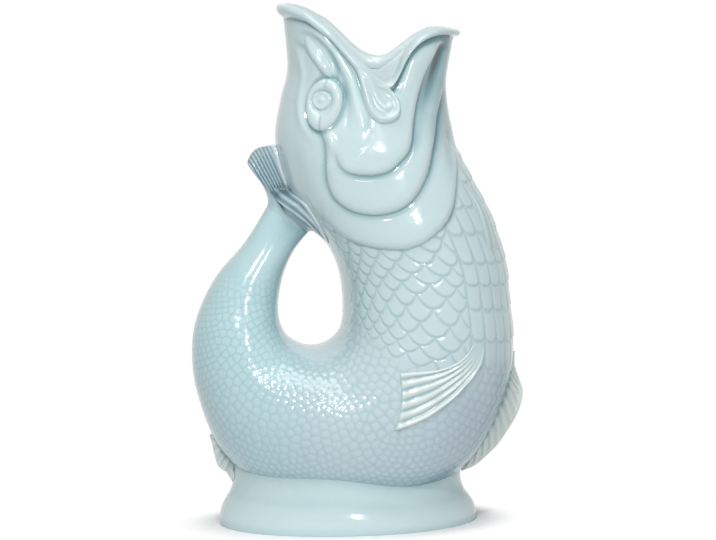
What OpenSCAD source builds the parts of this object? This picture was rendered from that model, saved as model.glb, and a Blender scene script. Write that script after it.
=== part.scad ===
// Gurgle jug in the form of a fish that stands on its belly with its mouth open upwards.
// The origin is the middle of the jug on the table, +X is the pouring side and +Z is up.

/* [Overall] */
// Height just over the upper lip, which all outline heights follow
jug_h = 241; // [200:1:290]
// Length from the bend of the tail to the belly fin, which all outline places follow
jug_l = 152; // [130:1:180]
// Width across the body
body_w = 98; // [84:1:116]
// Fullness of the round sections, 1 is a true ellipse
fullness = 0.94; // [0.85:0.01:1]

/* [Walls] */
// Thickness of the fired wall
wall = 4.5; // [3:0.5:6]
// Joint line between parts that are luted on
seam = 0.3; // [0.2:0.05:0.5]

/* [Foot] */
// Length of the foot on the table
foot_l = 118; // [106:1:124]
// Width of the foot on the table
foot_w = 78; // [70:1:84]
// Thickness of the foot wall
foot_wall = 7; // [5:0.5:10]
// Space between the foot and the ends of the standing fins
foot_gap = 2; // [1.5:0.5:4]

/* [Mouth] */
// Height of the rolled lip above the wall
lip_h = 4; // [2.5:0.5:6]
// How far the lip rolls outwards
lip_roll = 1.6; // [0.8:0.2:2.4]

/* [Fins] */
// Thickness of the standing fins at their root
fin_root_t = 6; // [4:0.5:8]
// Thickness of the standing fins at their edge
fin_edge_t = 3; // [2:0.5:4]
// Half thickness of the tail fin where it meets the back of the head
tail_fin_half_t = 6; // [4:0.5:8]
// Height of the pectoral fins above the scales
pectoral_t = 3.4; // [2:0.2:4.5]
// Height of the pelvic fins above the scales
pelvic_t = 3; // [2:0.2:4]

/* [Head] */
// Height of the gill covers above the scales
gill_t = 2.6; // [1.6:0.2:3.6]
// Height of the cheek plates above the head
cheek_t = 1.6; // [1:0.2:2.4]
// Height of the brow leaves above the head
brow_t = 1.6; // [1:0.2:2.4]
// Width of the eye ring along the head, as a share of the jug's height
eye_w_share = 0.079; // [0.06:0.001:0.09]
// Height of the eye ring, as a share of the jug's height
eye_h_share = 0.095; // [0.07:0.001:0.1]
// Height of the eye dome
eye_t = 3.4; // [2:0.2:5]
// Width of the barbel at the corner of the mouth, as a share of the jug's height
barbel_w_share = 0.068; // [0.05:0.001:0.075]
// Height of the barbel, as a share of the jug's height
barbel_h_share = 0.066; // [0.05:0.001:0.075]
// Height of the barbel rim
barbel_t = 3.2; // [2:0.2:4]

/* [Hidden] */

// Number of sides of every round section
sides = 48;
// Side angles of the two outlines seen from the side
front = 0;
back = 180;
turn = 360;
// Step in station number and in degrees for slopes
slope_step = 0.01;
slope_angle = 0.5;

// Each row is one section of the fish from mouth to tail: the place of its back edge and of
// its front edge, as shares of jug_l and jug_h, and its half width as a share of body_w.
section_shares = [
    [-0.171, 0.988, 0.349, 0.946, 0.347],
    [-0.161, 0.921, 0.329, 0.888, 0.342],
    [-0.158, 0.863, 0.316, 0.838, 0.347],
    [-0.178, 0.813, 0.319, 0.797, 0.362],
    [-0.197, 0.751, 0.332, 0.747, 0.388],
    [-0.191, 0.701, 0.349, 0.705, 0.403],
    [-0.162, 0.641, 0.393, 0.648, 0.418],
    [-0.109, 0.589, 0.447, 0.579, 0.429],
    [-0.046, 0.531, 0.487, 0.494, 0.439],
    [-0.013, 0.477, 0.495, 0.432, 0.454],
    [-0.004, 0.411, 0.505, 0.344, 0.474],
    [-0.011, 0.376, 0.484, 0.257, 0.490],
    [-0.033, 0.355, 0.385, 0.129, 0.500],
    [-0.069, 0.341, 0.204, 0.057, 0.490],
    [-0.112, 0.339, -0.046, 0.058, 0.464],
    [-0.148, 0.348, -0.253, 0.081, 0.408],
    [-0.176, 0.362, -0.382, 0.149, 0.347],
    [-0.194, 0.386, -0.447, 0.253, 0.286],
    [-0.199, 0.411, -0.461, 0.336, 0.245],
    [-0.196, 0.438, -0.441, 0.405, 0.204],
    [-0.180, 0.481, -0.382, 0.477, 0.163],
    [-0.147, 0.524, -0.296, 0.539, 0.122],
    [-0.102, 0.558, -0.226, 0.607, 0.092]];

// Stations where the head, body and tail are luted together
neck = 8;
tail_root = 17;
tail_tip = 22;
// Station where the hollow of the tail ends
tail_blind = 21.2;
// Rows of facets along each part
head_rows = 12;
body_rows = 27;
tail_rows = 18;

// Station of the top of the wall at each side angle, where the lip is luted on. The corner of
// the mouth dips lower on the right side than on the left.
rim_right = [[0, 0.5], [30, 0.48], [43, 0.5], [54, 0.64], [62, 0.86], [68, 1.25], [74, 2.2],
    [80, 2.58], [88, 2.48], [95, 2], [105, 1.38], [116, 0.84], [136, 0.43], [158, 0.32], [180, 0.32]];
rim_left = [[0, 0.5], [30, 0.54], [43, 0.64], [54, 0.88], [62, 1.16], [68, 1.4], [74, 1.62],
    [80, 1.74], [88, 1.7], [95, 1.5], [105, 1.06], [116, 0.7], [136, 0.43], [158, 0.32], [180, 0.32]];
// Section of the lip: out from the wall, then up, as shares of lip_roll and lip_h
lip_outer_shares = [[0.8, 0.25], [1.0, 0.6], [0.5, 0.95]];
lip_inner_shares = [[-0.5, 1.0], [-0.4, 0.5]];

// Foot profile: height, half length and half width, as shares of the free height and of the foot
foot_profile_shares = [[0, 0.985, 0.98], [0.05, 0.996, 0.995], [0.18, 1, 1], [0.38, 0.965, 0.97],
    [0.55, 0.912, 0.94], [0.75, 0.885, 0.93], [1, 0.885, 0.93]];
foot_inner_rows = 3;
// Stations between which the underside rests on the foot
under_first = 11;
under_last = 17;
halvings = 14;

// Outer edges of the standing fins: how far along and how far off the line from the fin's start
// to its end, as shares of that line. Each fin starts on the skin a few stations from the foot
// and ends beside the foot, at a share of jug_h.
belly_fin_shares = [[0.1, 0.045], [0.18, 0.115], [0.25, 0.175], [0.345, 0.205], [0.45, 0.21],
    [0.57, 0.195], [0.705, 0.17], [0.82, 0.125], [0.92, 0.075]];
rear_fin_shares = [[0.19, 0.03], [0.345, 0.07], [0.56, 0.11], [0.67, 0.08], [0.785, 0.022]];
belly_fin_end_share = 0.09;
rear_fin_end_share = 0.08;
belly_fin_stations = -1.96;
rear_fin_stations = 0.6;
fin_rows = 16;
fin_steps = 4;

// Edges of the tail fin between the tail and the head, as shares of jug_l and jug_h
tail_fin_top_shares = [[-0.224, 0.622], [-0.24, 0.649], [-0.268, 0.674], [-0.282, 0.693],
    [-0.254, 0.717]];
tail_fin_low_shares = [[-0.082, 0.557], [-0.064, 0.546]];
tail_fin_stations = [4.55, 7.9];
tail_fin_rows = 12;
tail_fin_round = 0.5;

// Edges of the parts that lie on the skin: rows of station and side angle
gill_top = [[5.6, 135], [6.3, 122], [6.62, 110], [6.5, 88], [5.9, 66], [5.3, 50], [4.6, 36]];
gill_low = [[6.7, 147], [7.35, 130], [7.73, 110], [7.4, 82], [6.9, 63], [6.1, 42], [5.1, 22]];
cheek_top = [[4.4, 114], [5.1, 110], [5.48, 96], [4.98, 76], [4.2, 67], [3.5, 61], [2.6, 54]];
cheek_low = [[4.6, 122], [5.9, 119], [6.45, 106], [6.3, 86], [5.4, 62], [4.5, 50], [2.7, 43]];
pectoral_low = [[10.15, 54], [10.7, 63], [11.5, 75], [12.1, 83], [12.62, 89]];
pectoral_top = [[10, 58], [10.35, 68], [10.78, 83], [11.1, 96], [11.35, 107]];
pelvic_in = [[6.1, 24], [6.6, 20], [7.2, 18], [7.8, 19]];
pelvic_out = [[6.1, 30], [6.6, 34], [7.2, 40], [7.7, 44]];
brow_front = [[0.75, 137], [1.1, 126], [1.6, 118], [2, 117]];
brow_back = [[0.85, 143], [1.3, 140], [1.75, 131], [2.05, 123]];
// Height over the skin from edge to edge, and along each part, as shares of its height
across_shares = [0.35, 0.8, 1, 1, 0.8, 0.35];
flap_shares = [0.3, 0.45, 0.6, 0.78, 1, 0.75];
along_shares = [0.35, 0.9, 1, 1, 0.9, 0.35];
fan_shares = [1, 0.95, 0.85, 0.75, 0.6, 0.45];
leaf_rows = 14;
leaf_steps = 6;

// Centres of the eye and the barbel, as station and side angle
eye_at = [2.95, 120.5];
barbel_at = [3.26, 83];
// Rings of the eye and the barbel: radius share and height share
eye_shares = [[0.22, 1], [0.4, 0.85], [0.52, 0.4], [0.74, 0.34], [0.88, 0.6], [1, 0.25]];
barbel_shares = [[0.3, 0.4], [0.55, 0.6], [0.76, 1], [0.9, 0.85], [1, 0.3]];
eye_top_share = 1.04;
barbel_top_share = 0.3;
boss_sides = 24;

glaze = [0.80, 0.88, 0.89];
glaze_deep = [0.66, 0.78, 0.80];
glaze_pale = [0.87, 0.91, 0.91];

function mix(a, b, t) = a + (b - a) * t;
function unit(v) = v / norm(v);
function signed_power(x, e) = sign(x) * pow(abs(x), e);
function clip(i, n) = max(0, min(n, i));

// Smooth curve through the rows of a table, with t counted in rows
function curve(rows, t) =
    let (n = len(rows) - 1, i = clip(floor(t), n - 1), f = t - i,
        p = rows[clip(i - 1, n)], q = rows[i], r = rows[i + 1], w = rows[clip(i + 2, n)])
    (2 * q + (r - p) * f + (2 * p - 5 * q + 4 * r - w) * f * f
        + (3 * q - p - 3 * r + w) * f * f * f) / 2;
// The same curve with t from 0 to 1
function along(rows, t) = curve(rows, t * (len(rows) - 1));

// A table of pairs, read at x between its rows
function look(rows, x, i = 0) =
    i >= len(rows) - 2 || x <= rows[i + 1][0]
        ? mix(rows[i][1], rows[i + 1][1], (x - rows[i][0]) / (rows[i + 1][0] - rows[i][0]))
        : look(rows, x, i + 1);

// Point of the section at station s and side angle u, drawn in by inset all round
function section(s, u, inset = 0) =
    let (r = curve(section_shares, s),
        p = [r[0] * jug_l, 0, r[1] * jug_h], q = [r[2] * jug_l, 0, r[3] * jug_h],
        reach = norm(q - p) / 2 - inset, half_w = r[4] * body_w - inset)
    (p + q) / 2 + unit(q - p) * reach * signed_power(cos(u), fullness)
        + [0, half_w * signed_power(sin(u), fullness), 0];
function slope_s(s, u) = (section(s + slope_step, u) - section(s - slope_step, u)) / slope_step / 2;
function slope_u(s, u) = (section(s, u + slope_angle) - section(s, u - slope_angle)) / slope_angle / 2;
function outward(s, u) = unit(cross(slope_s(s, u), slope_u(s, u)));
// Point over the skin of the fish, lift above it
function skin(s, u, lift = 0) = section(s, u) + outward(s, u) * lift;

function flat(rows) = [for (row = rows) for (p = row) p];
function backwards(faces) = [for (f = faces) [f[2], f[1], f[0]]];
// Two triangles for each cell of a grid whose point 0,0 has the number at
function grid(rows, cols, at = 0, closed = true) =
    [for (i = [0 : rows - 2]) for (j = [0 : cols - (closed ? 1 : 2)])
        let (k = (j + 1) % cols, a = at + i * cols, b = a + cols)
        each [[a + j, a + k, b + k], [a + j, b + k, b + j]]];
// A band between two rows of points that start at the numbers a and b
function band(a, b, cols) =
    [for (j = [0 : cols - 1]) let (k = (j + 1) % cols) each [[a + j, b + j, a + k], [b + j, b + k, a + k]]];
function fan(a, tip, cols) = [for (j = [0 : cols - 1]) [a + j, a + (j + 1) % cols, tip]];

// Hollow part of the fish from rows of outer and inner points
module shell(outer, inner) {
    n = len(outer);
    m = n * sides;
    polyhedron(flat(concat(outer, inner)), concat(grid(n, sides), backwards(grid(n, sides, m)),
        band(0, m, sides), backwards(band(m - sides, m + m - sides, sides))), convexity = 8);
}

function side_angle(j) = turn * j / sides;
function rim(u) = u > turn / 2 ? look(rim_right, turn - u) : look(rim_left, u);
function head_row(i, inset) = [for (j = [0 : sides - 1])
    let (u = side_angle(j)) section(mix(rim(u), neck, i / head_rows), u, inset)];
function rows_between(s0, s1, n, inset) = [for (i = [0 : n]) [for (j = [0 : sides - 1])
    section(mix(s0, s1, i / n), side_angle(j), inset)]];

module head() {
    color(glaze)
        shell([for (i = [0 : head_rows]) head_row(i, 0)], [for (i = [0 : head_rows]) head_row(i, wall)]);
}

module body() {
    color(glaze)
        shell(rows_between(neck, tail_root, body_rows, 0), rows_between(neck, tail_root, body_rows, wall));
}

// Rolled edge of the mouth, a section carried round on top of the wall
function lip_section(u) =
    let (s = rim(u), o = section(s, u), i = section(s, u, wall), n = unit(o - i),
        up = -unit(slope_s(s, u)))
    concat([o], [for (p = lip_outer_shares) o + n * p[0] * lip_roll + up * p[1] * lip_h],
        [for (p = lip_inner_shares) i - n * p[0] * lip_roll + up * p[1] * lip_h], [i]);

module mouth_lip() {
    ring = [for (j = [0 : sides - 1]) lip_section(side_angle(j))];
    cols = len(ring[0]);
    faces = [for (j = [0 : sides - 1]) for (k = [0 : cols - 1])
        let (a = j * cols, b = (j + 1) % sides * cols, m = (k + 1) % cols)
        each [[a + k, a + m, b + m], [a + k, b + m, b + k]]];
    color(glaze_pale)
        polyhedron(flat(ring), faces, convexity = 8);
}

// Hollow tail that rises behind the back: open to the body below and blind above
module tail_handle() {
    outer = rows_between(tail_root, tail_tip, tail_rows, 0);
    inner = rows_between(tail_root, tail_blind, tail_rows, wall);
    m = (tail_rows + 1) * sides;
    end = section(tail_tip, front) + section(tail_tip, back);
    blind = section(tail_blind, front) + section(tail_blind, back);
    points = concat(flat(outer), flat(inner), [end / 2, blind / 2]);
    color(glaze_deep)
        polyhedron(points, concat(grid(tail_rows + 1, sides), backwards(grid(tail_rows + 1, sides, m)),
            band(0, m, sides), fan(m - sides, m + m, sides),
            backwards(fan(m + m - sides, m + m + 1, sides))), convexity = 8);
}

// Tail fin between the end of the tail and the back of the head, blended from its four edges
function fin_back(q) = skin(mix(tail_fin_stations[1], tail_fin_stations[0], q), back, seam);
function fin_path(first, shares, last, f) =
    along(concat([first], [for (p = shares) [p[0] * jug_l, 0, p[1] * jug_h]], [last]), f);
function fin_top(f) = fin_path(section(tail_tip, front), tail_fin_top_shares, fin_back(1), f);
function fin_low(f) = fin_path(section(tail_tip, back), tail_fin_low_shares, fin_back(0), f);
function fin_mid(f, q) =
    mix(fin_low(f), fin_top(f), q) + (fin_back(q) - mix(fin_back(0), fin_back(1), q)) * f;
function fin_ring(f) =
    let (r = curve(section_shares, tail_tip), half_t = mix(r[4] * body_w, tail_fin_half_t, sqrt(f)))
    [for (j = [0 : sides - 1]) let (u = side_angle(j), q = (1 + signed_power(cos(u), fullness)) / 2)
        fin_mid(f, q) + [0, half_t * signed_power(sin(u), mix(fullness, tail_fin_round, f)), 0]];

module tail_fin() {
    n = tail_fin_rows + 1;
    rows = [for (i = [0 : tail_fin_rows]) fin_ring(i / tail_fin_rows)];
    ends = [fin_mid(0, 1 / 2), fin_mid(1, 1 / 2)];
    color(glaze_pale)
        polyhedron(concat(flat(rows), ends), concat(grid(n, sides),
            backwards(fan(0, n * sides, sides)), fan((n - 1) * sides, n * sides + 1, sides)),
            convexity = 6);
}

// Underside of the fish over a place on the table, found by halving the span of stations
function side_of(s, y) =
    let (r = curve(section_shares, s))
    sign(y) * asin(min(1, pow(abs(y) / (r[4] * body_w), 1 / fullness)));
function under_station(p, lo = under_first, hi = under_last, n = halvings) =
    let (s = (lo + hi) / 2)
    n == 0 ? s
        : section(s, side_of(s, p[1]))[0] > p[0] ? under_station(p, s, hi, n - 1)
        : under_station(p, lo, s, n - 1);
function under(p) = let (s = under_station(p)) skin(s, side_of(s, p[1]), seam);
function foot_point(u, half_l, half_w) = [half_l * cos(u), half_w * sin(u)];
function foot_row(h, u, half_l, half_w, top) =
    let (p = foot_point(u, half_l, half_w)) [p[0], p[1], top[2] * h];

foot_top_shares = foot_profile_shares[len(foot_profile_shares) - 1];
neck_l = foot_l / 2 * foot_top_shares[1];
neck_w = foot_w / 2 * foot_top_shares[2];

module foot() {
    angles = [for (j = [0 : sides - 1]) side_angle(j)];
    outer_top = [for (u = angles) under(foot_point(u, neck_l, neck_w))];
    inner_top = [for (u = angles) under(foot_point(u, neck_l - foot_wall, neck_w - foot_wall))];
    outer = [for (f = foot_profile_shares) [for (j = [0 : sides - 1])
        f[0] == 1 ? outer_top[j]
            : foot_row(f[0], angles[j], foot_l / 2 * f[1], foot_w / 2 * f[2], outer_top[j])]];
    inner = [for (i = [0 : foot_inner_rows]) [for (j = [0 : sides - 1])
        let (f = i / foot_inner_rows)
        f == 1 ? inner_top[j]
            : foot_row(f, angles[j], mix(foot_l / 2, neck_l, f) - foot_wall,
                mix(foot_w / 2, neck_w, f) - foot_wall, inner_top[j])]];
    n = len(outer);
    k = len(inner);
    m = n * sides;
    color(glaze)
        polyhedron(flat(concat(outer, inner)), concat(backwards(grid(n, sides)), grid(k, sides, m),
            backwards(band(0, m, sides)), band(m - sides, m + (k - 1) * sides, sides)), convexity = 8);
}

// Fin that stands off an outline of the fish, its section a tongue from the root to the edge
function tongue(root, edge) =
    [for (e = [-1, 1]) for (i = [0 : fin_steps])
        let (f = (e < 0 ? i : fin_steps - i) / fin_steps,
            half_t = mix(fin_root_t, fin_edge_t, f) / 2 * (f == 1 ? 1 / 2 : 1))
        mix(root, edge, f) + [0, e * half_t, 0]];
// End of a tongue, closed from side to side
function cap(a, cols) = [for (j = [0 : cols / 2 - 2]) let (p = a + j, q = a + cols - 1 - j)
    each [[p, p + 1, q - 1], [p, q - 1, q]]];
function outer_edge(shares, first, last, off, f) =
    along(concat([first], [for (p = shares) mix(first, last, p[0]) + off * p[1]], [last]), f);

// Point of that fin's outer edge, t of the way from its start on the skin to its end at the foot
function fin_edge(stations, shares, end_share, side_sign, t) =
    let (foot_side = side_sign * (neck_l + foot_gap),
        start = skin(under_station([foot_side, 0]) + stations, front, fin_edge_t / 2),
        end = [foot_side, 0, end_share * jug_h],
        off = side_sign * [start[2] - end[2], 0, end[0] - start[0]])
    outer_edge(shares, start, end, off, t);

// The fin runs down the outline to the foot, on the side that side_sign gives
module standing_fin(stations, shares, end_share, side_sign) {
    n = fin_rows + 1;
    cols = 2 * (fin_steps + 1);
    foot_side = side_sign * (neck_l + foot_gap);
    last = under_station([foot_side, 0]);
    first = last + stations;
    rows = [for (i = [0 : fin_rows]) let (t = i / fin_rows)
        tongue(skin(mix(first, last, t), front, seam), fin_edge(stations, shares, end_share, side_sign, t))];
    faces = concat(grid(n, cols), backwards(cap(0, cols)), cap((n - 1) * cols, cols));
    color(glaze_pale)
        polyhedron(flat(rows), last > first ? faces : backwards(faces), convexity = 4);
}

// How far the belly fin and the bend of the tail reach; the point half way comes to x = 0
fin_reach = max([for (i = [0 : fin_rows])
    fin_edge(belly_fin_stations, belly_fin_shares, belly_fin_end_share, 1, i / fin_rows)[0]]);
tail_reach = min([for (row = rows_between(tail_root, tail_tip, tail_rows, 0)) row[0][0]]);
middle_x = (fin_reach + tail_reach) / 2;

module belly_fin() {
    standing_fin(belly_fin_stations, belly_fin_shares, belly_fin_end_share, 1);
}

module rear_fin() {
    standing_fin(rear_fin_stations, rear_fin_shares, rear_fin_end_share, -1);
}

// Part that lies on the skin between two edges, given as stations and side angles
module leaf(first, second, height, lengthwise, crosswise) {
    rows = leaf_rows + 1;
    cols = leaf_steps + 1;
    m = rows * cols;
    places = [for (i = [0 : leaf_rows]) for (j = [0 : leaf_steps])
        let (a = i / leaf_rows, b = j / leaf_steps, p = mix(along(first, a), along(second, a), b))
        [p[0], p[1], seam + height * along(lengthwise, a) * along(crosswise, b)]];
    top = [for (p = places) skin(p[0], p[1], p[2])];
    base = [for (p = places) skin(p[0], p[1], seam)];
    edge = concat([for (j = [0 : cols - 1]) j], [for (i = [1 : rows - 1]) i * cols + cols - 1],
        [for (j = [cols - 2 : -1 : 0]) (rows - 1) * cols + j], [for (i = [rows - 2 : -1 : 1]) i * cols]);
    n = len(edge);
    walls = [for (i = [0 : n - 1]) let (a = edge[i], b = edge[(i + 1) % n])
        each [[a, a + m, b + m], [a, b + m, b]]];
    polyhedron(concat(top, base), concat(grid(rows, cols, 0, false),
        backwards(grid(rows, cols, m, false)), walls), convexity = 6);
}

module gill_cover_left() {
    color(glaze)
        leaf(gill_top, gill_low, gill_t, along_shares, flap_shares);
}

module cheek_plate_left() {
    color(glaze)
        leaf(cheek_top, cheek_low, cheek_t, along_shares, across_shares);
}

module pectoral_fin_left() {
    color(glaze_pale)
        leaf(pectoral_low, pectoral_top, pectoral_t, fan_shares, across_shares);
}

module pelvic_fin_left() {
    color(glaze_pale)
        leaf(pelvic_in, pelvic_out, pelvic_t, along_shares, across_shares);
}

module brow_leaf_left() {
    color(glaze)
        leaf(brow_front, brow_back, brow_t, along_shares, across_shares);
}

// Round boss on the skin: rings of points about a centre, each with its own height
function place_near(at, along_s, along_u) =
    at + [along_s / norm(slope_s(at[0], at[1])), along_u / norm(slope_u(at[0], at[1]))];
module boss(at, w_share, h_share, height, rings, top_share) {
    half_w = w_share * jug_h / 2;
    half_h = h_share * jug_h / 2;
    n = len(rings);
    places = [for (r = rings) for (j = [0 : boss_sides - 1])
        let (v = turn * j / boss_sides)
        concat(place_near(at, half_h * r[0] * cos(v), half_w * r[0] * sin(v)), [r[1]])];
    m = n * boss_sides;
    top = [for (p = places) skin(p[0], p[1], seam + height * p[2])];
    base = [for (p = places) skin(p[0], p[1], seam)];
    ends = [skin(at[0], at[1], seam + height * top_share), skin(at[0], at[1], seam)];
    polyhedron(concat(top, base, ends), concat(grid(n, boss_sides), backwards(grid(n, boss_sides, m)),
        backwards(fan(0, m + m, boss_sides)), fan(m, m + m + 1, boss_sides),
        backwards(band(m - boss_sides, m + m - boss_sides, boss_sides))), convexity = 6);
}

module eye_left() {
    color(glaze_pale)
        boss(eye_at, eye_w_share, eye_h_share, eye_t, eye_shares, eye_top_share);
}

module barbel_left() {
    color(glaze_pale)
        boss(barbel_at, barbel_w_share, barbel_h_share, barbel_t, barbel_shares, barbel_top_share);
}

// Twin on the right of a part made on the left
module right_side() {
    mirror([0, 1, 0]) children();
}

// Everything is drawn round the middle of the foot and then moved to the middle of the jug
module centred() {
    translate([-middle_x, 0, 0]) children();
}

centred() foot();
centred() body();
centred() head();
centred() mouth_lip();
centred() tail_handle();
centred() tail_fin();
centred() belly_fin();
centred() rear_fin();
centred() gill_cover_left();
centred() right_side() gill_cover_left();  // gill_cover_right
centred() cheek_plate_left();
centred() right_side() cheek_plate_left();  // cheek_plate_right
centred() pectoral_fin_left();
centred() right_side() pectoral_fin_left();  // pectoral_fin_right
centred() pelvic_fin_left();
centred() right_side() pelvic_fin_left();  // pelvic_fin_right
centred() eye_left();
centred() right_side() eye_left();  // eye_right
centred() brow_leaf_left();
centred() right_side() brow_leaf_left();  // brow_leaf_right
centred() barbel_left();
centred() right_side() barbel_left();  // barbel_right
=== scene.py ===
import math

import bpy
import numpy as np
from mathutils import Matrix, Vector


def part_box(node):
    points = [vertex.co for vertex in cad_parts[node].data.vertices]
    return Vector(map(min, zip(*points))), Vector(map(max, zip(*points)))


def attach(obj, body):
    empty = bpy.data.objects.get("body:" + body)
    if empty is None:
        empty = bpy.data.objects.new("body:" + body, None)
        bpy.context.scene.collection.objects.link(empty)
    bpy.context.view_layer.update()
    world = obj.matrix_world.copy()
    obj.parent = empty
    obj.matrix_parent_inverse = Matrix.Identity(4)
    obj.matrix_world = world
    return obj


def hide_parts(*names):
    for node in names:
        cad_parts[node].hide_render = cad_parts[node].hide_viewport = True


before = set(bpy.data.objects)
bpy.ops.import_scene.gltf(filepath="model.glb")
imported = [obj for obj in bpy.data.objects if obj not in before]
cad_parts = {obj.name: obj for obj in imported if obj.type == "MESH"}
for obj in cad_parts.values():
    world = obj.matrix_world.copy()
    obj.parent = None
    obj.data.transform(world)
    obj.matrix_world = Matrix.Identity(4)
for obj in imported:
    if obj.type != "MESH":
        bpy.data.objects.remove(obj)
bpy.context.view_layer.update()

print("gurgle jug: frame loaded")

# The fish is a row of sections from the mouth (station 0) to the tip of the tail (station 22).
# A side angle of 0 is the pouring side, 90 the left side, 180 the handle side, -90 the right side.
jug = {
    "height": 0.241,
    "length": 0.152,
    "width": 0.098,
    "fullness": 0.94,
    "wall": 0.0045,
    "seam": 0.0003,
    "neck": 8,
    "belly": 12.2,      # where the upper and the lower half of the belly meet
    "tailRoot": 17,
    "tailTip": 22,
    "tailBlind": 21.2,
    "stages": [         # back edge x, z and front edge x, z as shares of length and height, half width
        [-0.171, 0.988, 0.349, 0.946, 0.347], [-0.161, 0.921, 0.329, 0.888, 0.342],
        [-0.158, 0.863, 0.316, 0.838, 0.347], [-0.178, 0.813, 0.319, 0.797, 0.362],
        [-0.197, 0.751, 0.332, 0.747, 0.388], [-0.191, 0.701, 0.349, 0.705, 0.403],
        [-0.162, 0.641, 0.393, 0.648, 0.418], [-0.109, 0.589, 0.447, 0.579, 0.429],
        [-0.046, 0.531, 0.487, 0.494, 0.439], [-0.013, 0.477, 0.495, 0.432, 0.454],
        [-0.004, 0.411, 0.505, 0.344, 0.474], [-0.011, 0.376, 0.484, 0.257, 0.490],
        [-0.033, 0.355, 0.385, 0.129, 0.500], [-0.069, 0.341, 0.204, 0.057, 0.490],
        [-0.112, 0.339, -0.046, 0.058, 0.464], [-0.148, 0.348, -0.253, 0.081, 0.408],
        [-0.176, 0.362, -0.382, 0.149, 0.347], [-0.194, 0.386, -0.447, 0.253, 0.286],
        [-0.199, 0.411, -0.461, 0.336, 0.245], [-0.196, 0.438, -0.441, 0.405, 0.204],
        [-0.180, 0.481, -0.382, 0.477, 0.163], [-0.147, 0.524, -0.296, 0.539, 0.122],
        [-0.102, 0.558, -0.226, 0.607, 0.092]],
    # side angle, station of the top of the wall
    "rimRight": [[0, 0.5], [30, 0.48], [43, 0.5], [54, 0.64], [62, 0.86], [68, 1.25], [74, 2.2],
                 [80, 2.58], [88, 2.48], [95, 2], [105, 1.38], [116, 0.84], [136, 0.43],
                 [158, 0.32], [180, 0.32]],
    "rimLeft": [[0, 0.5], [30, 0.54], [43, 0.64], [54, 0.88], [62, 1.16], [68, 1.4], [74, 1.62],
                [80, 1.74], [88, 1.7], [95, 1.5], [105, 1.06], [116, 0.7], [136, 0.43],
                [158, 0.32], [180, 0.32]],
    "rimBlur": 5,           # degrees to either side over which the rim is averaged
    "slope": (0.01, 0.5),   # stations and degrees to either side over which a slope is taken
    "wayAngle": 40.0,       # side angle along which the length of the fish is measured
    "cornerFades": (1.5, 4.0),    # stations over which the carving leaves the corner of the mouth
    "beyond": -2,           # a station outside the mouth
    # painted light: the inside of the mouth is drawn paler than the glaze
    "litInsideTone": -0.9,
    "poolDepth": 2.4,       # mm below its surroundings at which a hollow is full of glaze
    "poolBlur": 3.2,        # rows and columns of the blur that stands for the surroundings
    "leafBlur": 3,
}
jug["stages"] = np.array(jug["stages"])
stepS, stepU = jug["slope"]
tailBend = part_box("tail_handle")[0].x    # the farthest point of the tail in the frame
mm = 0.001


def mix(a, b, t):
    return a + (b - a) * t


def smoothStep(low, high, x):    # 3t^2 - 2t^3 of the share of the way from low to high
    t = np.clip((x - low) / (high - low), 0, 1)
    return t * t * (3 - 2 * t)


def bell(d, width):    # e to the power of minus the square of the share
    return np.exp(-(d / width) ** 2)


def hump(x, spec):    # bell of a height, about a place, of a width; two values leave the place at 0
    height, place, width = spec if len(spec) == 3 else (spec[0], 0, spec[1])
    return height * bell(x - place, width)


def signedPower(x, e):
    return np.sign(x) * np.abs(x) ** e


def unit(v):
    return v / np.maximum(np.linalg.norm(v, axis=-1, keepdims=True), 1e-12)


def curve(rows, t):
    # Catmull-Rom through the rows of a table, t counted in rows
    rows = np.asarray(rows, float)
    last = len(rows) - 1
    i = np.clip(np.floor(t).astype(int), 0, last - 1)
    f = (t - i)[..., None]
    p, q = rows[np.clip(i - 1, 0, last)], rows[i]
    r, w = rows[i + 1], rows[np.clip(i + 2, 0, last)]
    return (2 * q + (r - p) * f + (2 * p - 5 * q + 4 * r - w) * f ** 2
            + (3 * q - p - 3 * r + w) * f ** 3) / 2


def along(rows, f):    # the same curve with f from 0 to 1
    return curve(rows, np.asarray(f, float) * (len(rows) - 1))


def section(s, u, inset=0.0):
    # middle of the two edges + unit(front - back) * (half their distance - inset) * cos(u)^fullness
    # + Y * (half width - inset) * sin(u)^fullness
    s, u = np.broadcast_arrays(np.asarray(s, float), np.asarray(u, float))
    r = curve(jug["stages"], s)
    nought = np.zeros_like(s)
    p = np.stack([r[..., 0] * jug["length"], nought, r[..., 1] * jug["height"]], -1)
    q = np.stack([r[..., 2] * jug["length"], nought, r[..., 3] * jug["height"]], -1)
    reach = np.linalg.norm(q - p, axis=-1) / 2 - inset
    halfW = r[..., 4] * jug["width"] - inset
    a = np.radians(u)
    out = (p + q) / 2 + unit(q - p) * (reach * signedPower(np.cos(a), jug["fullness"]))[..., None]
    out[..., 1] += halfW * signedPower(np.sin(a), jug["fullness"])
    return out


def outward(s, u):    # unit cross product of the slopes along the fish and round it
    alongFish = section(s + stepS, u) - section(s - stepS, u)
    roundFish = section(s, u + stepU) - section(s, u - stepU)
    return unit(np.cross(alongFish, roundFish))


def skin(s, u, lift=0.0):    # point of the section plus lift along the outward direction
    s, u = np.broadcast_arrays(np.asarray(s, float), np.asarray(u, float))
    return section(s, u) + outward(s, u) * np.asarray(lift, float)[..., None]


def sideOf(u):    # side angle counted from the front on either side
    return np.abs((u + 180) % 360 - 180)


def readTable(x, rows):    # straight lines from row to row of a table
    return np.interp(x, *np.array(rows, float).T)


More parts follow.
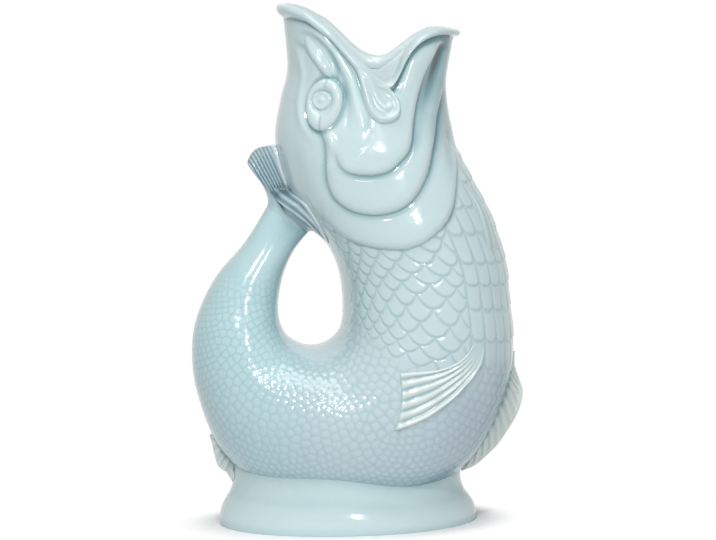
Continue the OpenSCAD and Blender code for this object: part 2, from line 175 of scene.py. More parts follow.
def rim(u):
    # station of the top of the wall at side angle u: the mean of the table round it, weighted by a cosine
    def read(angle):
        right, left = (readTable(sideOf(angle), jug[k]) for k in ("rimRight", "rimLeft"))
        return np.where((angle % 360) > 180, right, left)
    shifts = np.linspace(-jug["rimBlur"], jug["rimBlur"], 11)
    weights = np.cos(shifts / (1.1 * jug["rimBlur"]) * math.pi / 2)
    return sum(w * read(u + d) for w, d in zip(weights, shifts)) / weights.sum()


def wayAlong(points):    # length of the path up to each of its points
    return np.concatenate([[0], np.cumsum(np.linalg.norm(np.diff(points, axis=0), axis=1))])


def evenStations(s0, s1, n):
    # stations from s0 to s1 whose points at one side angle are equally far apart
    s = np.linspace(s0, s1, 400)
    way = wayAlong(section(s, jug["wayAngle"]))
    return np.interp(np.linspace(0, way[-1], n), way, s)


def metresPer(s, u):    # length on the skin of one station and of one degree
    perStation = np.linalg.norm(section(s + stepS, u) - section(s - stepS, u)) / (2 * stepS)
    perDegree = np.linalg.norm(section(s, u + stepU) - section(s, u - stepU)) / (2 * stepU)
    return perStation, perDegree


def turnAt(s, y):    # degrees from the middle plane at which the section at s is y wide, signs left out
    halfW = curve(jug["stages"], s)[..., 4] * jug["width"]
    return np.degrees(np.arcsin(np.clip(np.abs(y) / halfW, 0, 1) ** (1 / jug["fullness"])))


# how far the origin of the sections lies from the frame's
middleX = section(np.linspace(jug["tailRoot"], jug["tailTip"], 19), 0.0)[:, 0].min() - tailBend


# meshes

def gridQuads(rows, cols, at=0, closed=True, looped=False):
    # squares of a grid, closed from its last column to its first, looped from its last row to its first
    i, j = np.meshgrid(np.arange(rows - (not looped)), np.arange(cols - (not closed)), indexing="ij")
    k = (j + 1) % cols
    a, b = at + i * cols, at + (i + 1) % rows * cols
    return np.stack([a + j, a + k, b + k, b + j], -1).reshape(-1, 4)


def bandQuads(a, b, cols):
    j = np.arange(cols)
    k = (j + 1) % cols
    return np.stack([a + j, b + j, b + k, a + k], -1)


def fanTris(a, tip, cols):
    j = np.arange(cols)
    return np.stack([a + j, a + (j + 1) % cols, np.full(cols, tip)], -1)


def volumeOf(points, quads, tris):    # sum of the signed tetrahedra from the origin
    t = np.concatenate([quads[:, [0, 1, 2]], quads[:, [0, 2, 3]], tris])
    a, b, c = points[t[:, 0]], points[t[:, 1]], points[t[:, 2]]
    return np.einsum("ij,ij->i", a, np.cross(b, c)).sum() / 6


def addPiece(name, points, quads, tris=None, glazeTone=None, sharp=None, slot=None, node=None, glaze=None):
    # mesh turned right side out; glazeTone is the tone at each point, pooled glaze with painted shade and
    # light, and sharp holds a number, the first point and the end of each ring whose edges stay sharp
    points = np.ascontiguousarray(points, float).reshape(-1, 3)
    quads = np.asarray(quads, int).reshape(-1, 4)
    tris = np.zeros((0, 3), int) if tris is None else np.asarray(tris, int).reshape(-1, 3)
    if volumeOf(points, quads, tris) < 0:
        quads, tris = quads[:, ::-1], tris[:, ::-1]
    points = points - [middleX, 0, 0]
    corners = np.concatenate([quads.ravel(), tris.ravel()]).astype(np.int32)
    sizes = np.concatenate([np.full(len(quads), 4), np.full(len(tris), 3)])
    mesh = bpy.data.meshes.new(name)
    mesh.vertices.add(len(points))
    mesh.vertices.foreach_set("co", points.astype(np.float32).ravel())
    mesh.loops.add(len(corners))
    mesh.loops.foreach_set("vertex_index", corners)
    mesh.polygons.add(len(sizes))
    mesh.polygons.foreach_set("loop_start", (np.cumsum(sizes) - sizes).astype(np.int32))
    mesh.update(calc_edges=True)
    mesh.polygons.foreach_set("use_smooth", np.ones(len(sizes), bool))
    tone = mesh.attributes.new("glazeTone", "FLOAT", "POINT")
    values = np.zeros(len(points)) if glazeTone is None else glazeTone
    tone.data.foreach_set("value", values.astype(np.float32).ravel())
    if sharp is not None:
        ends = np.zeros(len(mesh.edges) * 2, np.int32)
        mesh.edges.foreach_get("vertices", ends)
        ends = ends.reshape(-1, 2)
        ring = np.zeros(len(points), int)
        for mark, low, high in sharp:
            ring[low:high] = mark
        same = (ring[ends[:, 0]] == ring[ends[:, 1]]) & (ring[ends[:, 0]] > 0)
        edge = mesh.attributes.new("sharp_edge", "BOOLEAN", "EDGE")
        edge.data.foreach_set("value", same)
    piece = bpy.data.objects.new(name, mesh)
    bpy.context.scene.collection.objects.link(piece)
    if glaze is not None:
        mesh.materials.append(glaze)
    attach(piece, "root")
    if node:
        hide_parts(node)
    return piece


def addTube(name, points, glazeTone, sharp=None, **kinds):
    # closed rings one after another, with a fan from the middle of the first and of the last
    rows, cols = points.shape[:2]
    n = rows * cols
    tips = np.stack([points[0].mean(0), points[-1].mean(0)])
    fans = np.concatenate([fanTris(0, n, cols)[:, ::-1], fanTris(n - cols, n + 1, cols)])
    return addPiece(name, np.concatenate([points.reshape(-1, 3), tips]), gridQuads(rows, cols), fans,
                    np.concatenate([glazeTone.ravel(), np.zeros(2)]), sharp, **kinds)


def softened(height, across, around, wrap=True):
    # Gaussian blur of a grid, with the edge rows repeated and the columns joined round
    def kernel(width):
        reach = int(3 * width) + 1
        k = np.exp(-0.5 * (np.arange(-reach, reach + 1) / width) ** 2)
        return k / k.sum(), reach
    k, reach = kernel(across)
    h = np.pad(height, ((reach, reach), (0, 0)), mode="edge")
    h = sum(k[i] * h[i:i + height.shape[0]] for i in range(len(k)))
    k, reach = kernel(around)
    h = np.pad(h, ((0, 0), (reach, reach)), mode="wrap" if wrap else "edge")
    return sum(k[i] * h[:, i:i + height.shape[1]] for i in range(len(k)))


def pooled(height, width, wrap=True):    # tone = how far the relief lies below its own blur
    return (softened(height, width, width, wrap) - height) / (jug["poolDepth"] * mm)


# glaze

glazes = {
    "celadon": (0.51, 0.645, 0.667),
    "thin": (0.72, 0.79, 0.79),
    "deep": (0.17, 0.37, 0.41),
    # painted shade: the dark grey that the deepest cuts and the shadows under the lips go over to
    "cut": (0.12, 0.17, 0.18),
    # painted light on the inside of the mouth, also the thin glaze on the head's ridges
    "inside": (0.84, 0.94, 0.96),
}
finish = {
    # scale and detail of each noise
    "cloud": (28, 3),
    "speck": (260, 2),
    "sheen": (90, 2),
    "peel": (420, 1),
    "ripple": (140, 2),
    "clouding": 0.28,       # how far clouds and specks move the tone
    "speckShare": 0.35,
    "thinShare": 0.6,       # what is left of them where the glaze is thin
    "rippleShare": 1.2,
    "roughness": 0.11,
    "sheenShare": 0.06,
    "bump": 0.35,
    "bumpDepth": 0.12 * mm,
    "coat": 0.2,
    "coatRoughness": 0.04,
    "ior": 1.5,
}


def feed(link, socket, value):    # with a number, a colour or another node's socket
    if isinstance(value, (int, float)):
        socket.default_value = value
    elif isinstance(value, tuple):
        socket.default_value = (*value, 1)
    else:
        link(value, socket)


def mathNode(nodes, link, kind, a, b, clamp=False):
    node = nodes.new("ShaderNodeMath")
    node.operation = kind
    node.use_clamp = clamp
    feed(link, node.inputs[0], a)
    feed(link, node.inputs[1], b)
    return node.outputs[0]


def mixNode(nodes, link, share, a, b, kind="MIX"):
    node = nodes.new("ShaderNodeMix")
    node.data_type = "RGBA"
    node.blend_type = kind
    for socket, value in ((0, share), (6, a), (7, b)):
        feed(link, node.inputs[socket], value)
    return node.outputs[2]


def stepNode(nodes, link, value, low, high):    # smooth step from low to high
    node = nodes.new("ShaderNodeMapRange")
    node.interpolation_type = "SMOOTHSTEP"
    node.inputs["From Min"].default_value = low
    node.inputs["From Max"].default_value = high
    link(value, node.inputs["Value"])
    return node.outputs[0]


def toneGroup():
    # colour = celadon, paler where the glaze runs thin on ridges, deep teal where it pools, and
    # past a tone of 1 painted shade, a dark grey, in the deepest cuts and under the lips
    group = bpy.data.node_groups.new("glazeToneAndShade", "ShaderNodeTree")
    sockets = {"INPUT": {"Glaze": "Color", "Thin": "Color", "Deep": "Color", "GlazeTone": "Float"},
               "OUTPUT": {"Color": "Color", "Roughness": "Float", "Height": "Float"}}
    for way, kinds in sockets.items():
        for name, kind in kinds.items():
            group.interface.new_socket(name, in_out=way, socket_type="NodeSocket" + kind)
    nodes, link = group.nodes, group.links.new
    given, result = nodes.new("NodeGroupInput"), nodes.new("NodeGroupOutput")
    place = nodes.new("ShaderNodeTexCoord")

    def noise(key):
        node = nodes.new("ShaderNodeTexNoise")
        node.inputs["Scale"].default_value, node.inputs["Detail"].default_value = finish[key]
        link(place.outputs["Object"], node.inputs["Vector"])
        return node.outputs["Fac"]

    def calc(kind, a, b, clamp=False):
        return mathNode(nodes, link, kind, a, b, clamp)

    cloud = calc("SUBTRACT", noise("cloud"), 0.5)
    speck = calc("SUBTRACT", noise("speck"), 0.5)
    both = calc("ADD", cloud, calc("MULTIPLY", speck, finish["speckShare"]))
    drift = calc("MULTIPLY", both, finish["clouding"])
    glazeTone = given.outputs["GlazeTone"]
    thinness = calc("SUBTRACT", calc("MULTIPLY", drift, finish["thinShare"]), glazeTone, clamp=True)
    deepness = calc("ADD", glazeTone, drift)
    # past a tone of 1 the colour goes over to the painted shade
    paintedShadeShare = calc("SUBTRACT", deepness, 1.0, clamp=True)
    tone = mixNode(nodes, link, thinness, given.outputs["Glaze"], given.outputs["Thin"])
    tone = mixNode(nodes, link, calc("ADD", deepness, 0.0, clamp=True), tone, given.outputs["Deep"])
    link(mixNode(nodes, link, paintedShadeShare, tone, glazes["cut"]), result.inputs["Color"])
    rough = calc("ADD", calc("MULTIPLY", noise("sheen"), finish["sheenShare"]), finish["roughness"])
    link(rough, result.inputs["Roughness"])
    ripple = calc("MULTIPLY", noise("ripple"), finish["rippleShare"])
    link(calc("ADD", noise("peel"), ripple), result.inputs["Height"])
    return group


glazeGroup = toneGroup()


def tintByPlace(nodes, link, colour, tint):
    # colour multiplied by the tint, by the product of a smooth step along each axis that it names
    place = nodes.new("ShaderNodeTexCoord")
    axes = nodes.new("ShaderNodeSeparateXYZ")
    link(place.outputs["Object"], axes.inputs[0])
    share = tint["share"]
    for axis in ("X", "Z"):
        if axis in tint:
            step = stepNode(nodes, link, axes.outputs[axis], *tint[axis])
            share = mathNode(nodes, link, "MULTIPLY", share, step)
    return mixNode(nodes, link, share, colour, tint["colour"], "MULTIPLY")


def makeGlaze(name, glaze=glazes["celadon"], thin=glazes["thin"], deep=glazes["deep"], tints=()):
    # glossy coat over the pooled tone with its tints, and a faint orange peel
    mat = bpy.data.materials.new(name)
    mat.use_nodes = True
    nodes, link = mat.node_tree.nodes, mat.node_tree.links.new
    bsdf = nodes["Principled BSDF"]
    tone = nodes.new("ShaderNodeGroup")
    tone.node_tree = glazeGroup
    for socket, value in (("Glaze", glaze), ("Thin", thin), ("Deep", deep)):
        tone.inputs[socket].default_value = (*value, 1)
    glazeTone = nodes.new("ShaderNodeAttribute")
    glazeTone.attribute_name = "glazeTone"
    link(glazeTone.outputs["Fac"], tone.inputs["GlazeTone"])
    colour = tone.outputs["Color"]
    for tint in tints:
        colour = tintByPlace(nodes, link, colour, tint)
    link(colour, bsdf.inputs["Base Color"])
    link(tone.outputs["Roughness"], bsdf.inputs["Roughness"])
    bump = nodes.new("ShaderNodeBump")
    bump.inputs["Strength"].default_value = finish["bump"]
    bump.inputs["Distance"].default_value = finish["bumpDepth"]
    link(tone.outputs["Height"], bump.inputs["Height"])
    link(bump.outputs["Normal"], bsdf.inputs["Normal"])
    for socket, value in (("Coat Weight", finish["coat"]), ("Coat Roughness", finish["coatRoughness"]),
                          ("Coat IOR", finish["ior"]), ("IOR", finish["ior"])):
        bsdf.inputs[socket].default_value = value
    return mat


tints = {    # metres from and to along an axis, in the finished jug's frame
    # the two lavender tints low on the belly and on the pouring side are painted shade
    "lowBellyShade": {"Z": (0.10, 0.03), "share": 0.55, "colour": (0.86, 0.83, 0.90)},
    "pouringSideShade": {"Z": (0.10, 0.05), "X": (0.015, 0.05), "share": 0.7, "colour": (0.84, 0.80, 0.88)},
    "tail": {"X": (-0.012, -0.045), "share": 1.0, "colour": (0.88, 0.975, 0.985)},
    "finLobe": {"Z": (0.142, 0.158), "X": (-0.02, -0.026), "share": 0.6, "colour": (0.84, 0.79, 0.84)},
}
bodyGlaze = makeGlaze("bodyGlaze", tints=[tints["lowBellyShade"], tints["pouringSideShade"], tints["tail"]])
tailFinGlaze = makeGlaze("tailFinGlaze", deep=(0.13, 0.21, 0.25), tints=[tints["tail"], tints["finLobe"]])
# the head's and the lip's thin colour is the pale one painted on the inside of the mouth
headGlaze = makeGlaze("headGlaze", thin=glazes["inside"], deep=(0.17, 0.33, 0.36))
footGlaze = makeGlaze("footGlaze", (0.54, 0.69, 0.71))
lipGlaze = makeGlaze("lipGlaze", (0.48, 0.61, 0.63), glazes["inside"])
finGlaze = makeGlaze("finGlaze", (0.56, 0.68, 0.68), (0.77, 0.80, 0.75), (0.14, 0.27, 0.32))
faceGlaze = makeGlaze("faceGlaze", (0.54, 0.66, 0.68))
print("gurgle jug: glazes mixed")

# relief of the skin

scales = {
    "firstRow": 7.51,
    "rowPitch": 0.335,      # stations from row to row of large scales
    "columnPitch": [[0, 11], [60, 11], [72, 14], [82, 18], [96, 18], [110, 14.5], [125, 12], [145, 10],
                    [180, 9]],    # side angle, degrees from scale to scale
    "squareUntil": 6,       # columns of square scales on either side of the front, then staggered ones
    "scallop": (0.95, 2.1),     # depth in rows and power of the free edge of a staggered scale
    "squared": (0.6, 3.6),      # and of a square one
    "squareBlend": 0.02,    # columns over which one kind gives way to the other
    "large": 0.6 * mm,      # rise of the free edge of a large scale
    "largeFoot": 0.25,      # share of the rise where it comes out from under the row before it
    "largeRise": 0.8,       # power of the rise towards the free edge
    "largeEdge": 0.1,       # rows over which the free edge is rounded
    "largeSides": (0.55, 6),    # share of the swell at the sides, and power of its fall to them
    "squareSides": 0.7,     # share of the swell that a square scale loses at its sides
    "largeTone": 0.25,
    "gutters": (0.16, 0.12, 0.1),    # widths of the grooves above, below and beside a scale, in scales
    "gutterDepth": 0.35,
    "quiet": (138, 162),    # side angles over which the large scales fade towards the handle
    "quietShare": 0.85,
    "starts": [[0, 4.9], [20, 5.4], [60, 6.9], [100, 7.6], [140, 7.0], [180, 6.9]],
    "ends": [[0, 10.3], [45, 10.5], [66, 11.2], [95, 11.15], [120, 11.1], [132, 10.7], [150, 10.3],
             [180, 10.1]],    # side angle, station where the large scales give way to small ones
    "startBlend": 0.15,     # stations to either side over which they come in and give way
    "endBlend": 0.3,
    "carvedUntil": 7.9,     # no carving behind this station, no scales before the other two
    "largeFrom": 6.5,
    "smallFrom": 10,
    "small": 0.27 * mm,     # rise of the small scales
    "smallTone": 0.2,
    "smallSize": [[9.8, 5.0], [11, 5.0], [12, 4.3], [13.5, 3.8], [17, 3.6], [19, 3.2], [21, 2.7]],
    "smallStations": (9.7, 21.6),
    "smallApart": (0.9, 0.74),       # from row to row and least from scale to scale, in sizes
    "smallRecent": 900,              # how many of the last places a new one keeps away from
    "smallStray": (0.1, 0.012),      # in sizes round the fish and in stations along it
    "smallFlank": (0.45, 2.6),       # height and steepness of a small scale's edge
    "smallDome": (0.6, 0.1, 0.66),   # height of its dome and the sizes between which it falls
    "smallGroove": 0.2,
    "seedReach": 12 * mm,
    "crotch": ((10, 12), (138, 165), 0.8),    # stations, side angles and share that fades at the hole
    "tailFades": ((15, 17.5), 0.85, 0.6),     # stations, share of the rise lost, share of tone gained
    "tipFades": ((19.0, 20.8), 0.95),
    "seed": 7,
}
darkerBands = {
    # darker bands: tone, then the metres, stations or side angles it fades over
    "foot": {"tone": 0.4, "up": (0.021, 0.031)},
    "tailEnd": {"tone": 0.55, "stations": (20.7, 22), "sides": (40, 110)},
    # painted shade on the belly along the belly fin's root
    "bellyFin": {"tone": 0.8, "from": (10.1, 11), "to": (13.2, 13.9), "sides": (28, 44)},
}


def scaleColumns(side):
    # columns counted from the front, with the pitch of the table
    u = np.linspace(0, 180, 721)
    pitch = readTable(u, scales["columnPitch"])
    count = np.concatenate([[0], np.cumsum(0.25 / ((pitch[1:] + pitch[:-1]) / 2))])
    return np.interp(side, u, count)


def largeScales(s, u):
    # rows of scales whose free edges are scallops towards the tail; in each row the height falls
    # from the free edge up to the edge of the row before it; towards the front every other row
    # shrinks away, which leaves square scales in straight columns
    side = sideOf(u)
    c = scaleColumns(side)
    blend = scales["squareBlend"]
    square = 1 - smoothStep(-blend, blend, c - scales["squareUntil"])
    r = (s - scales["firstRow"]) / scales["rowPitch"]
    depth, power = (mix(a, b, square) for a, b in zip(scales["scallop"], scales["squared"]))
    above, below, beside = scales["gutters"]
    atFoot, (atSides, fall) = scales["largeFoot"], scales["largeSides"]

    def ownEdge(k):
        x = (c + 0.5 * (k % 2)) % 1.0 - 0.5
        return k + 1 + depth * (0.5 - np.abs(2 * x) ** power), x

    def edge(k):
        own, x = ownEdge(k)
        return np.where(k % 2 == 1, mix(own, ownEdge(k - 1)[0], square), own), x

    k0 = np.floor(r).astype(int)
    height = np.zeros_like(r)
    gap = np.full_like(r, 1.0)
    for k in (k0 - 2, k0 - 1, k0, k0 + 1, k0 + 2):
        low, x = edge(k)
        high, _ = edge(k - 1)
        inside = (r >= high) & (r < low)
        t = (low - r) / np.maximum(low - high, 0.2)
        aside = (0.5 - np.abs(x)) / beside
        across = 1 - np.clip(np.abs(2 * x), 0, 1) ** fall
        swell = (1 - t) ** scales["largeRise"] * (1 - np.exp(-(low - r) / scales["largeEdge"]))
        swell = swell * mix(atSides, 1, across)
        swell = mix(swell, swell * (1 - scales["squareSides"] * np.exp(-aside ** 2)), square)
        height = np.where(inside, mix(atFoot, 1, swell), height)
        near = np.minimum((r - high) / above, (low - r) / below)
        near = np.where(square > 0.3, np.minimum(near, aside / np.maximum(square, 0.3)), near)
        near = np.minimum(near, np.abs(c - scales["squareUntil"]) / beside)
        gap = np.where(inside, near, gap)
    groove = np.exp(-np.clip(gap, 0, 9) ** 2)
    quiet = 1 - scales["quietShare"] * smoothStep(*scales["quiet"], side)
    return scales["large"] * quiet * (height - scales["gutterDepth"] * groove), quiet * groove


def smallSeeds():
    # rows of places round half the fish, thinned so that none is nearer than its size allows
    rng = np.random.default_rng(scales["seed"])
    rowApart, leastApart = scales["smallApart"]
    strayRound, strayAlong = scales["smallStray"]
    picked, sizes = np.zeros((0, 3)), np.zeros(0)
    s, last = scales["smallStations"]
    u = np.linspace(-3, 183, 400)
    row = 0
    while s < last:
        pitch = float(readTable(s, scales["smallSize"])) * mm
        way = wayAlong(section(np.full_like(u, s), u))
        marks = np.arange(pitch * (0.25 + 0.5 * (row % 2)), way[-1], pitch)
        angles = np.interp(marks + rng.uniform(-strayRound, strayRound, len(marks)) * pitch, way, u)
        stations = s + rng.uniform(-strayAlong, strayAlong, len(angles))
        places = section(stations, angles)
        if len(picked):
            near = np.linalg.norm(places[:, None] - picked[None, -scales["smallRecent"]:], axis=2).min(1)
            places = places[near > leastApart * pitch]
        picked = np.concatenate([picked, places])
        sizes = np.concatenate([sizes, np.full(len(places), pitch)])
        ahead = section(s + stepS, jug["wayAngle"]) - section(s, jug["wayAngle"])
        s += rowApart * pitch / (np.linalg.norm(ahead) / stepS)
        row += 1
    return picked, sizes


seedPlaces, seedSizes = smallSeeds()
print("gurgle jug: small scales placed,", len(seedPlaces))


def smallScales(points, chunk=4000):
    # dome over the nearest place, cut off by the difference of the distances to the two nearest
    p = points.reshape(-1, 3).copy()
    p[:, 1] = np.abs(p[:, 1])
    height, groove = np.zeros(len(p)), np.zeros(len(p))
    flank, steepness = scales["smallFlank"]
    domed, domeTop, domeFoot = scales["smallDome"]
    for at in range(0, len(p), chunk):
        part = p[at:at + chunk]
        low, high = part.min(0) - scales["seedReach"], part.max(0) + scales["seedReach"]
        near = ((seedPlaces > low) & (seedPlaces < high))[:, [0, 2]].all(1)
        if near.sum() < 3:
            continue
        d = np.linalg.norm(part[:, None] - seedPlaces[near][None], axis=2)
        two = np.partition(d, 1, axis=1)[:, :2]
        wideness = seedSizes[near][np.argmin(d, axis=1)]
        gap = (two[:, 1] - two[:, 0]) / wideness
        dome = 1 - smoothStep(domeTop, domeFoot, two[:, 0] / wideness)
        height[at:at + chunk] = flank * (1 - np.exp(-steepness * gap)) + domed * dome
        groove[at:at + chunk] = bell(gap, scales["smallGroove"])
    shape = points.shape[:-1]
    return scales["small"] * height.reshape(shape), groove.reshape(shape)


headLines = {    # station, side angle and strength of what is carved on the head, from the right side
    "lipGroove": [[0.42, 180, 1], [0.44, 166, 1], [0.42, 150, 1], [0.46, 138, 1], [0.52, 129.5, 1],
                  [0.6, 123, 1], [0.75, 117, 1], [0.93, 112.5, 1], [1.17, 108, 1], [1.46, 103.5, 1],
                  [1.78, 100, 1], [2.08, 97.2, 1], [2.43, 95, 1], [2.8, 92.3, 0.9], [3.12, 90.3, 0.8],
                  [3.4, 88.8, 0.5], [3.7, 89.5, 0.2]],
    "lipRidge": [[0.72, 136, 0.2], [0.74, 126.5, 0.7], [1.05, 117.5, 1], [1.42, 111.5, 1], [1.85, 106.5, 1],
                 [2.38, 101.5, 1], [2.88, 98, 1], [3.33, 95, 0.9], [3.68, 93, 0.4]],
    "lipCrease": [[1.2, 118.5, 0.3], [1.58, 113.5, 0.8], [2, 109, 1], [2.5, 104.8, 1], [3, 102.5, 0.9],
                  [3.43, 101.5, 0.6], [3.8, 101.5, 0.2]],
    "cornerCrease": [[3.55, 90, 0.3], [3.93, 90, 0.6], [4.3, 93.5, 0.1]],
    # strengths above 1 deepen the trough and its painted shade
    "plateTrough": [[0.7, 28.5, 1.4], [0.88, 31, 2.0], [1.28, 34.5, 1.9], [1.78, 39.5, 1.5],
                    [2.33, 45, 1.05], [2.95, 50.5, 0.65], [3.48, 55, 0.4], [3.9, 58.5, 0.4],
                    [4.35, 62.5, 0.4], [4.85, 68, 0.2]],
    "foldTrough": [[2.43, 16.5, 0.3], [3.05, 29, 0.7], [3.62, 36, 0.9], [4.23, 42, 0.9], [4.93, 48.5, 0.7],
                   [5.4, 56.5, 0.4], [5.83, 65, 0.15]],
    "eyeBack": [[1.2, 151, 0.3], [1.55, 147, 0.9], [1.93, 143.5, 1], [2.4, 143, 0.9], [2.9, 142, 1],
                [3.3, 140, 1], [3.62, 136, 0.9], [3.85, 130.5, 0.6], [4.12, 124.5, 0.3]],
    "browTop": [[0.73, 144.5, 0.3], [0.75, 135, 0.9], [0.9, 126.5, 1], [1.12, 120, 1], [1.43, 116, 1],
                [1.75, 113.5, 1], [1.98, 113.5, 0.8]],
    "browFoot": [[1.03, 151.5, 0.3], [1.18, 141, 0.9], [1.35, 133, 1], [1.6, 128, 1], [1.9, 125.5, 0.8]],
    "underEye": [[3.78, 115, 0.6], [4, 113, 1], [4.3, 111, 1], [4.62, 110, 0.5]],
    "throatFold": [[3.9, 22, 0.3], [4.3, 26, 1], [4.7, 29.5, 1], [5.28, 36.5, 1], [5.68, 42.5, 0.4]],
    "innerPlate": [[4.2, 108, 0], [4.75, 109.5, 0.35], [5.1, 109.5, 0.6], [5.28, 107.5, 0.85],
                   [5.4, 103.5, 1], [5.45, 98, 1], [5.48, 93, 1], [5.43, 88, 1], [5.33, 81.5, 1],
                   [5.1, 75.5, 1], [4.83, 69, 1], [4.38, 64.5, 1], [3.83, 62, 1], [3.4, 59.5, 1],
                   [2.95, 56.5, 1], [2.38, 53.5, 1], [1.83, 50, 0.9], [1.43, 46, 0.8], [1.08, 41.5, 0.6],
                   [0.85, 35, 0.2]],
    "middlePlate": [[3.78, 122, 0.3], [4, 118.5, 0.6], [4.42, 116, 0.8], [4.93, 117.5, 0.8],
                    [5.35, 120.5, 0.85], [5.68, 122, 0.9], [6.05, 122.5, 1], [6.3, 120.5, 1],
                    [6.55, 116, 1], [6.65, 110, 1], [6.7, 102.5, 1], [6.65, 94.5, 1], [6.53, 87.5, 1],
                    [6.33, 79.5, 1], [6, 70.5, 1], [5.62, 62.5, 1], [5.2, 54.5, 1], [4.58, 47, 1],
                    [3.88, 41.5, 0.9], [3.33, 35.5, 0.8], [2.85, 28, 0.6], [2.4, 21.5, 0.2]],
    "gillPlate": [[6.95, 146, 0.2], [7.1, 141, 0.6], [7.45, 134, 1], [7.66, 122, 1], [7.7, 106, 1],
                  [7.62, 93, 1], [7.4, 81.5, 1], [7.12, 70, 1], [6.8, 60, 1], [6.43, 51, 1],
                  [6.03, 43, 1], [5.58, 33, 0.9], [5.08, 22, 0.4], [4.9, 18, 0]],
}
carvings = {    # rise and width of the bell along each line, its tone and the tone's width, widths in mm
    "lipGroove": (-0.8, 1.2, 0.5, 1.5),
    "lipRidge": (1.0, 2.1, 0, 2.1),
    "lipCrease": (-0.7, 1.7, 0.2, 1.8),
    "cornerCrease": (-0.5, 2.0, 0, 2.0),
    # the two troughs' tones are pooled glaze and painted shade where the jaw turns away from the lamps
    "plateTrough": (-1.3, 3.8, 0.95, 2.7),
    "foldTrough": (-0.7, 2.8, 0.6, 2.8),
    "eyeBack": (0.8, 2.2, 0, 2.2),
    "browTop": (-0.8, 1.4, 0.3, 1.6),
    "browFoot": (-0.9, 1.5, 0.35, 1.7),
    "underEye": (1.0, 2.0, 0, 2.0),
    "throatFold": (-0.9, 3.6, 0.2, 3.0),
}
headPlates = {
    # rise of the edge, radius of its round, how far in it levels off, the share of the rise that it
    # keeps, and the stations over which that share fades in
    "innerPlate": {"rise": 2.0 * mm, "radius": 3.4 * mm, "level": 9 * mm, "kept": 0.65,
                   "fades": (0.2, 1.2)},
    "middlePlate": {"rise": 2.2 * mm, "radius": 3.6 * mm, "level": 8 * mm, "kept": 0.35,
                    "fades": (2.8, 4.8)},
    "gillPlate": {"rise": 2.5 * mm, "radius": 3.8 * mm, "level": 9 * mm, "kept": 0.3,
                  "fades": (3.4, 5.4)},
}
plateBorder = {
    "ends": (16, 12),       # degrees over which the kept share fades in from the line's two ends
    "cove": 0.5 * mm,
    "coveWidth": 2.2 * mm,
    # pooled glaze in the cove, and painted shade below each plate's edge
    "tone": 0.5,
    "toneWidths": (0.8 * mm, 2.0 * mm),    # inside and outside the line
}
cheekSwell = {"place": (4.4, 84), "high": 1.5, "wide": 27, "rise": 1.5 * mm}
lipUndercut = {    # below the lower lip: a cut with painted shadow in it
    "sides": (82, 91),      # side angles where it ends towards the corner of the mouth
    "middle": (2, 10),      # and at the front
    "depth": 0.8 * mm,
    "width": 1.7 * mm,
    # painted shadow under the lower lip
    "tone": 1.4,
    "clear": 3.4 * mm,      # the other carving keeps this far off the lip
    "clearSides": (84, 94),
}
# painted shade on the throat between the troughs of the two jaws, where it turns away from the
# lamps; the troughs move by so many degrees with each station
throatShade = {"tone": 0.5, "side": 23, "perStation": 6.5, "fade": (-4, 9), "stations": (3.2, 5.2)}
eye = {
    "place": (2.95, 120.0),
    "halfWide": 0.037 * jug["height"],
    "halfHigh": 0.049 * jug["height"],
    "rise": 3.1 * mm,
    "sunk": 0.4 * mm,
    "crease": (-0.9 * mm, 1.02, 0.12),     # height, place and width in radii of the crease round it
    "creaseTone": (0.4, 1.04, 0.14),
    "torus": (0.72, 0.29),                 # middle and half width in radii
    "dish": 0.55,                          # its height in rises
    "dishEdge": (0.8, 0.95),
    "blend": 9,                            # the higher, the sharper torus and dish meet
    "level": 0.06,
    "edgeTone": 0.5,
    "edge": (0.9, 1.0),                    # radii over which the edge darkens, and closes
    "closes": (0.97, 1.0),
    "until": 5,                            # no crease behind this station
    "pupil": (0.7 * mm, 0.9 * mm),         # up and to the front of the middle
    "pupilDome": (0.6 * mm, 1.3 * mm),
    "iris": (-0.5 * mm, 4.5 * mm, 0.6 * mm),    # height, radius and width of the cut circle
    "irisTone": (0.25, 4.5 * mm, 0.6 * mm),
    "irisRim": (0.3 * mm, 3.5 * mm, 0.7 * mm),
    "slit": (1.0, -0.3 * mm, 0.7 * mm),    # upright cuts above and below the dish
    "slitFrom": (0.45, 0.6),
    "slitDepth": 0.5 * mm,
    "slitTone": 0.25,
}


def besideMouth(s, side, right):    # places move up with the corner of the mouth on the left
    return s if right else s + (rim(side) - rim(-side)) * (1 - smoothStep(*jug["cornerFades"], s))


def lineOnSkin(name, right, n=120):
    # points and strengths of a carved line on one side
    rows = along(headLines[name], np.linspace(0, 1, n))
    s, u, strength = softened(rows, 3.0, 0.1, wrap=False).T
    s = besideMouth(s, u, right)
    return section(s, u), s, u, np.clip(strength, 0, 2)


def nearLine(points, line, chunk=6000):
    # distance to the nearest point of a line, and that point's number
    p = points.reshape(-1, 3).copy()
    p[:, 1] = np.abs(p[:, 1])
    far, which = np.zeros(len(p)), np.zeros(len(p), int)
    for at in range(0, len(p), chunk):
        d = np.linalg.norm(p[at:at + chunk, None] - line[None], axis=2)
        which[at:at + chunk] = d.argmin(1)
        far[at:at + chunk] = d.min(1)
    return far.reshape(points.shape[:-1]), which.reshape(points.shape[:-1])


def insideLine(s, side, ls, lu):
    # even-odd test against the line closed over the mouth
    ps = np.concatenate([ls, [jug["beyond"]] * 2])
    pu = np.concatenate([lu, [lu[-1], lu[0]]])
    inside = np.zeros(s.shape, bool)
    for k in range(len(ps)):
        s0, u0, s1, u1 = ps[k - 1], pu[k - 1], ps[k], pu[k]
        if u0 == u1:
            continue
        between = (u0 > side) != (u1 > side)
        inside ^= between & (s < s0 + (side - u0) / (u1 - u0) * (s1 - s0))
    return inside


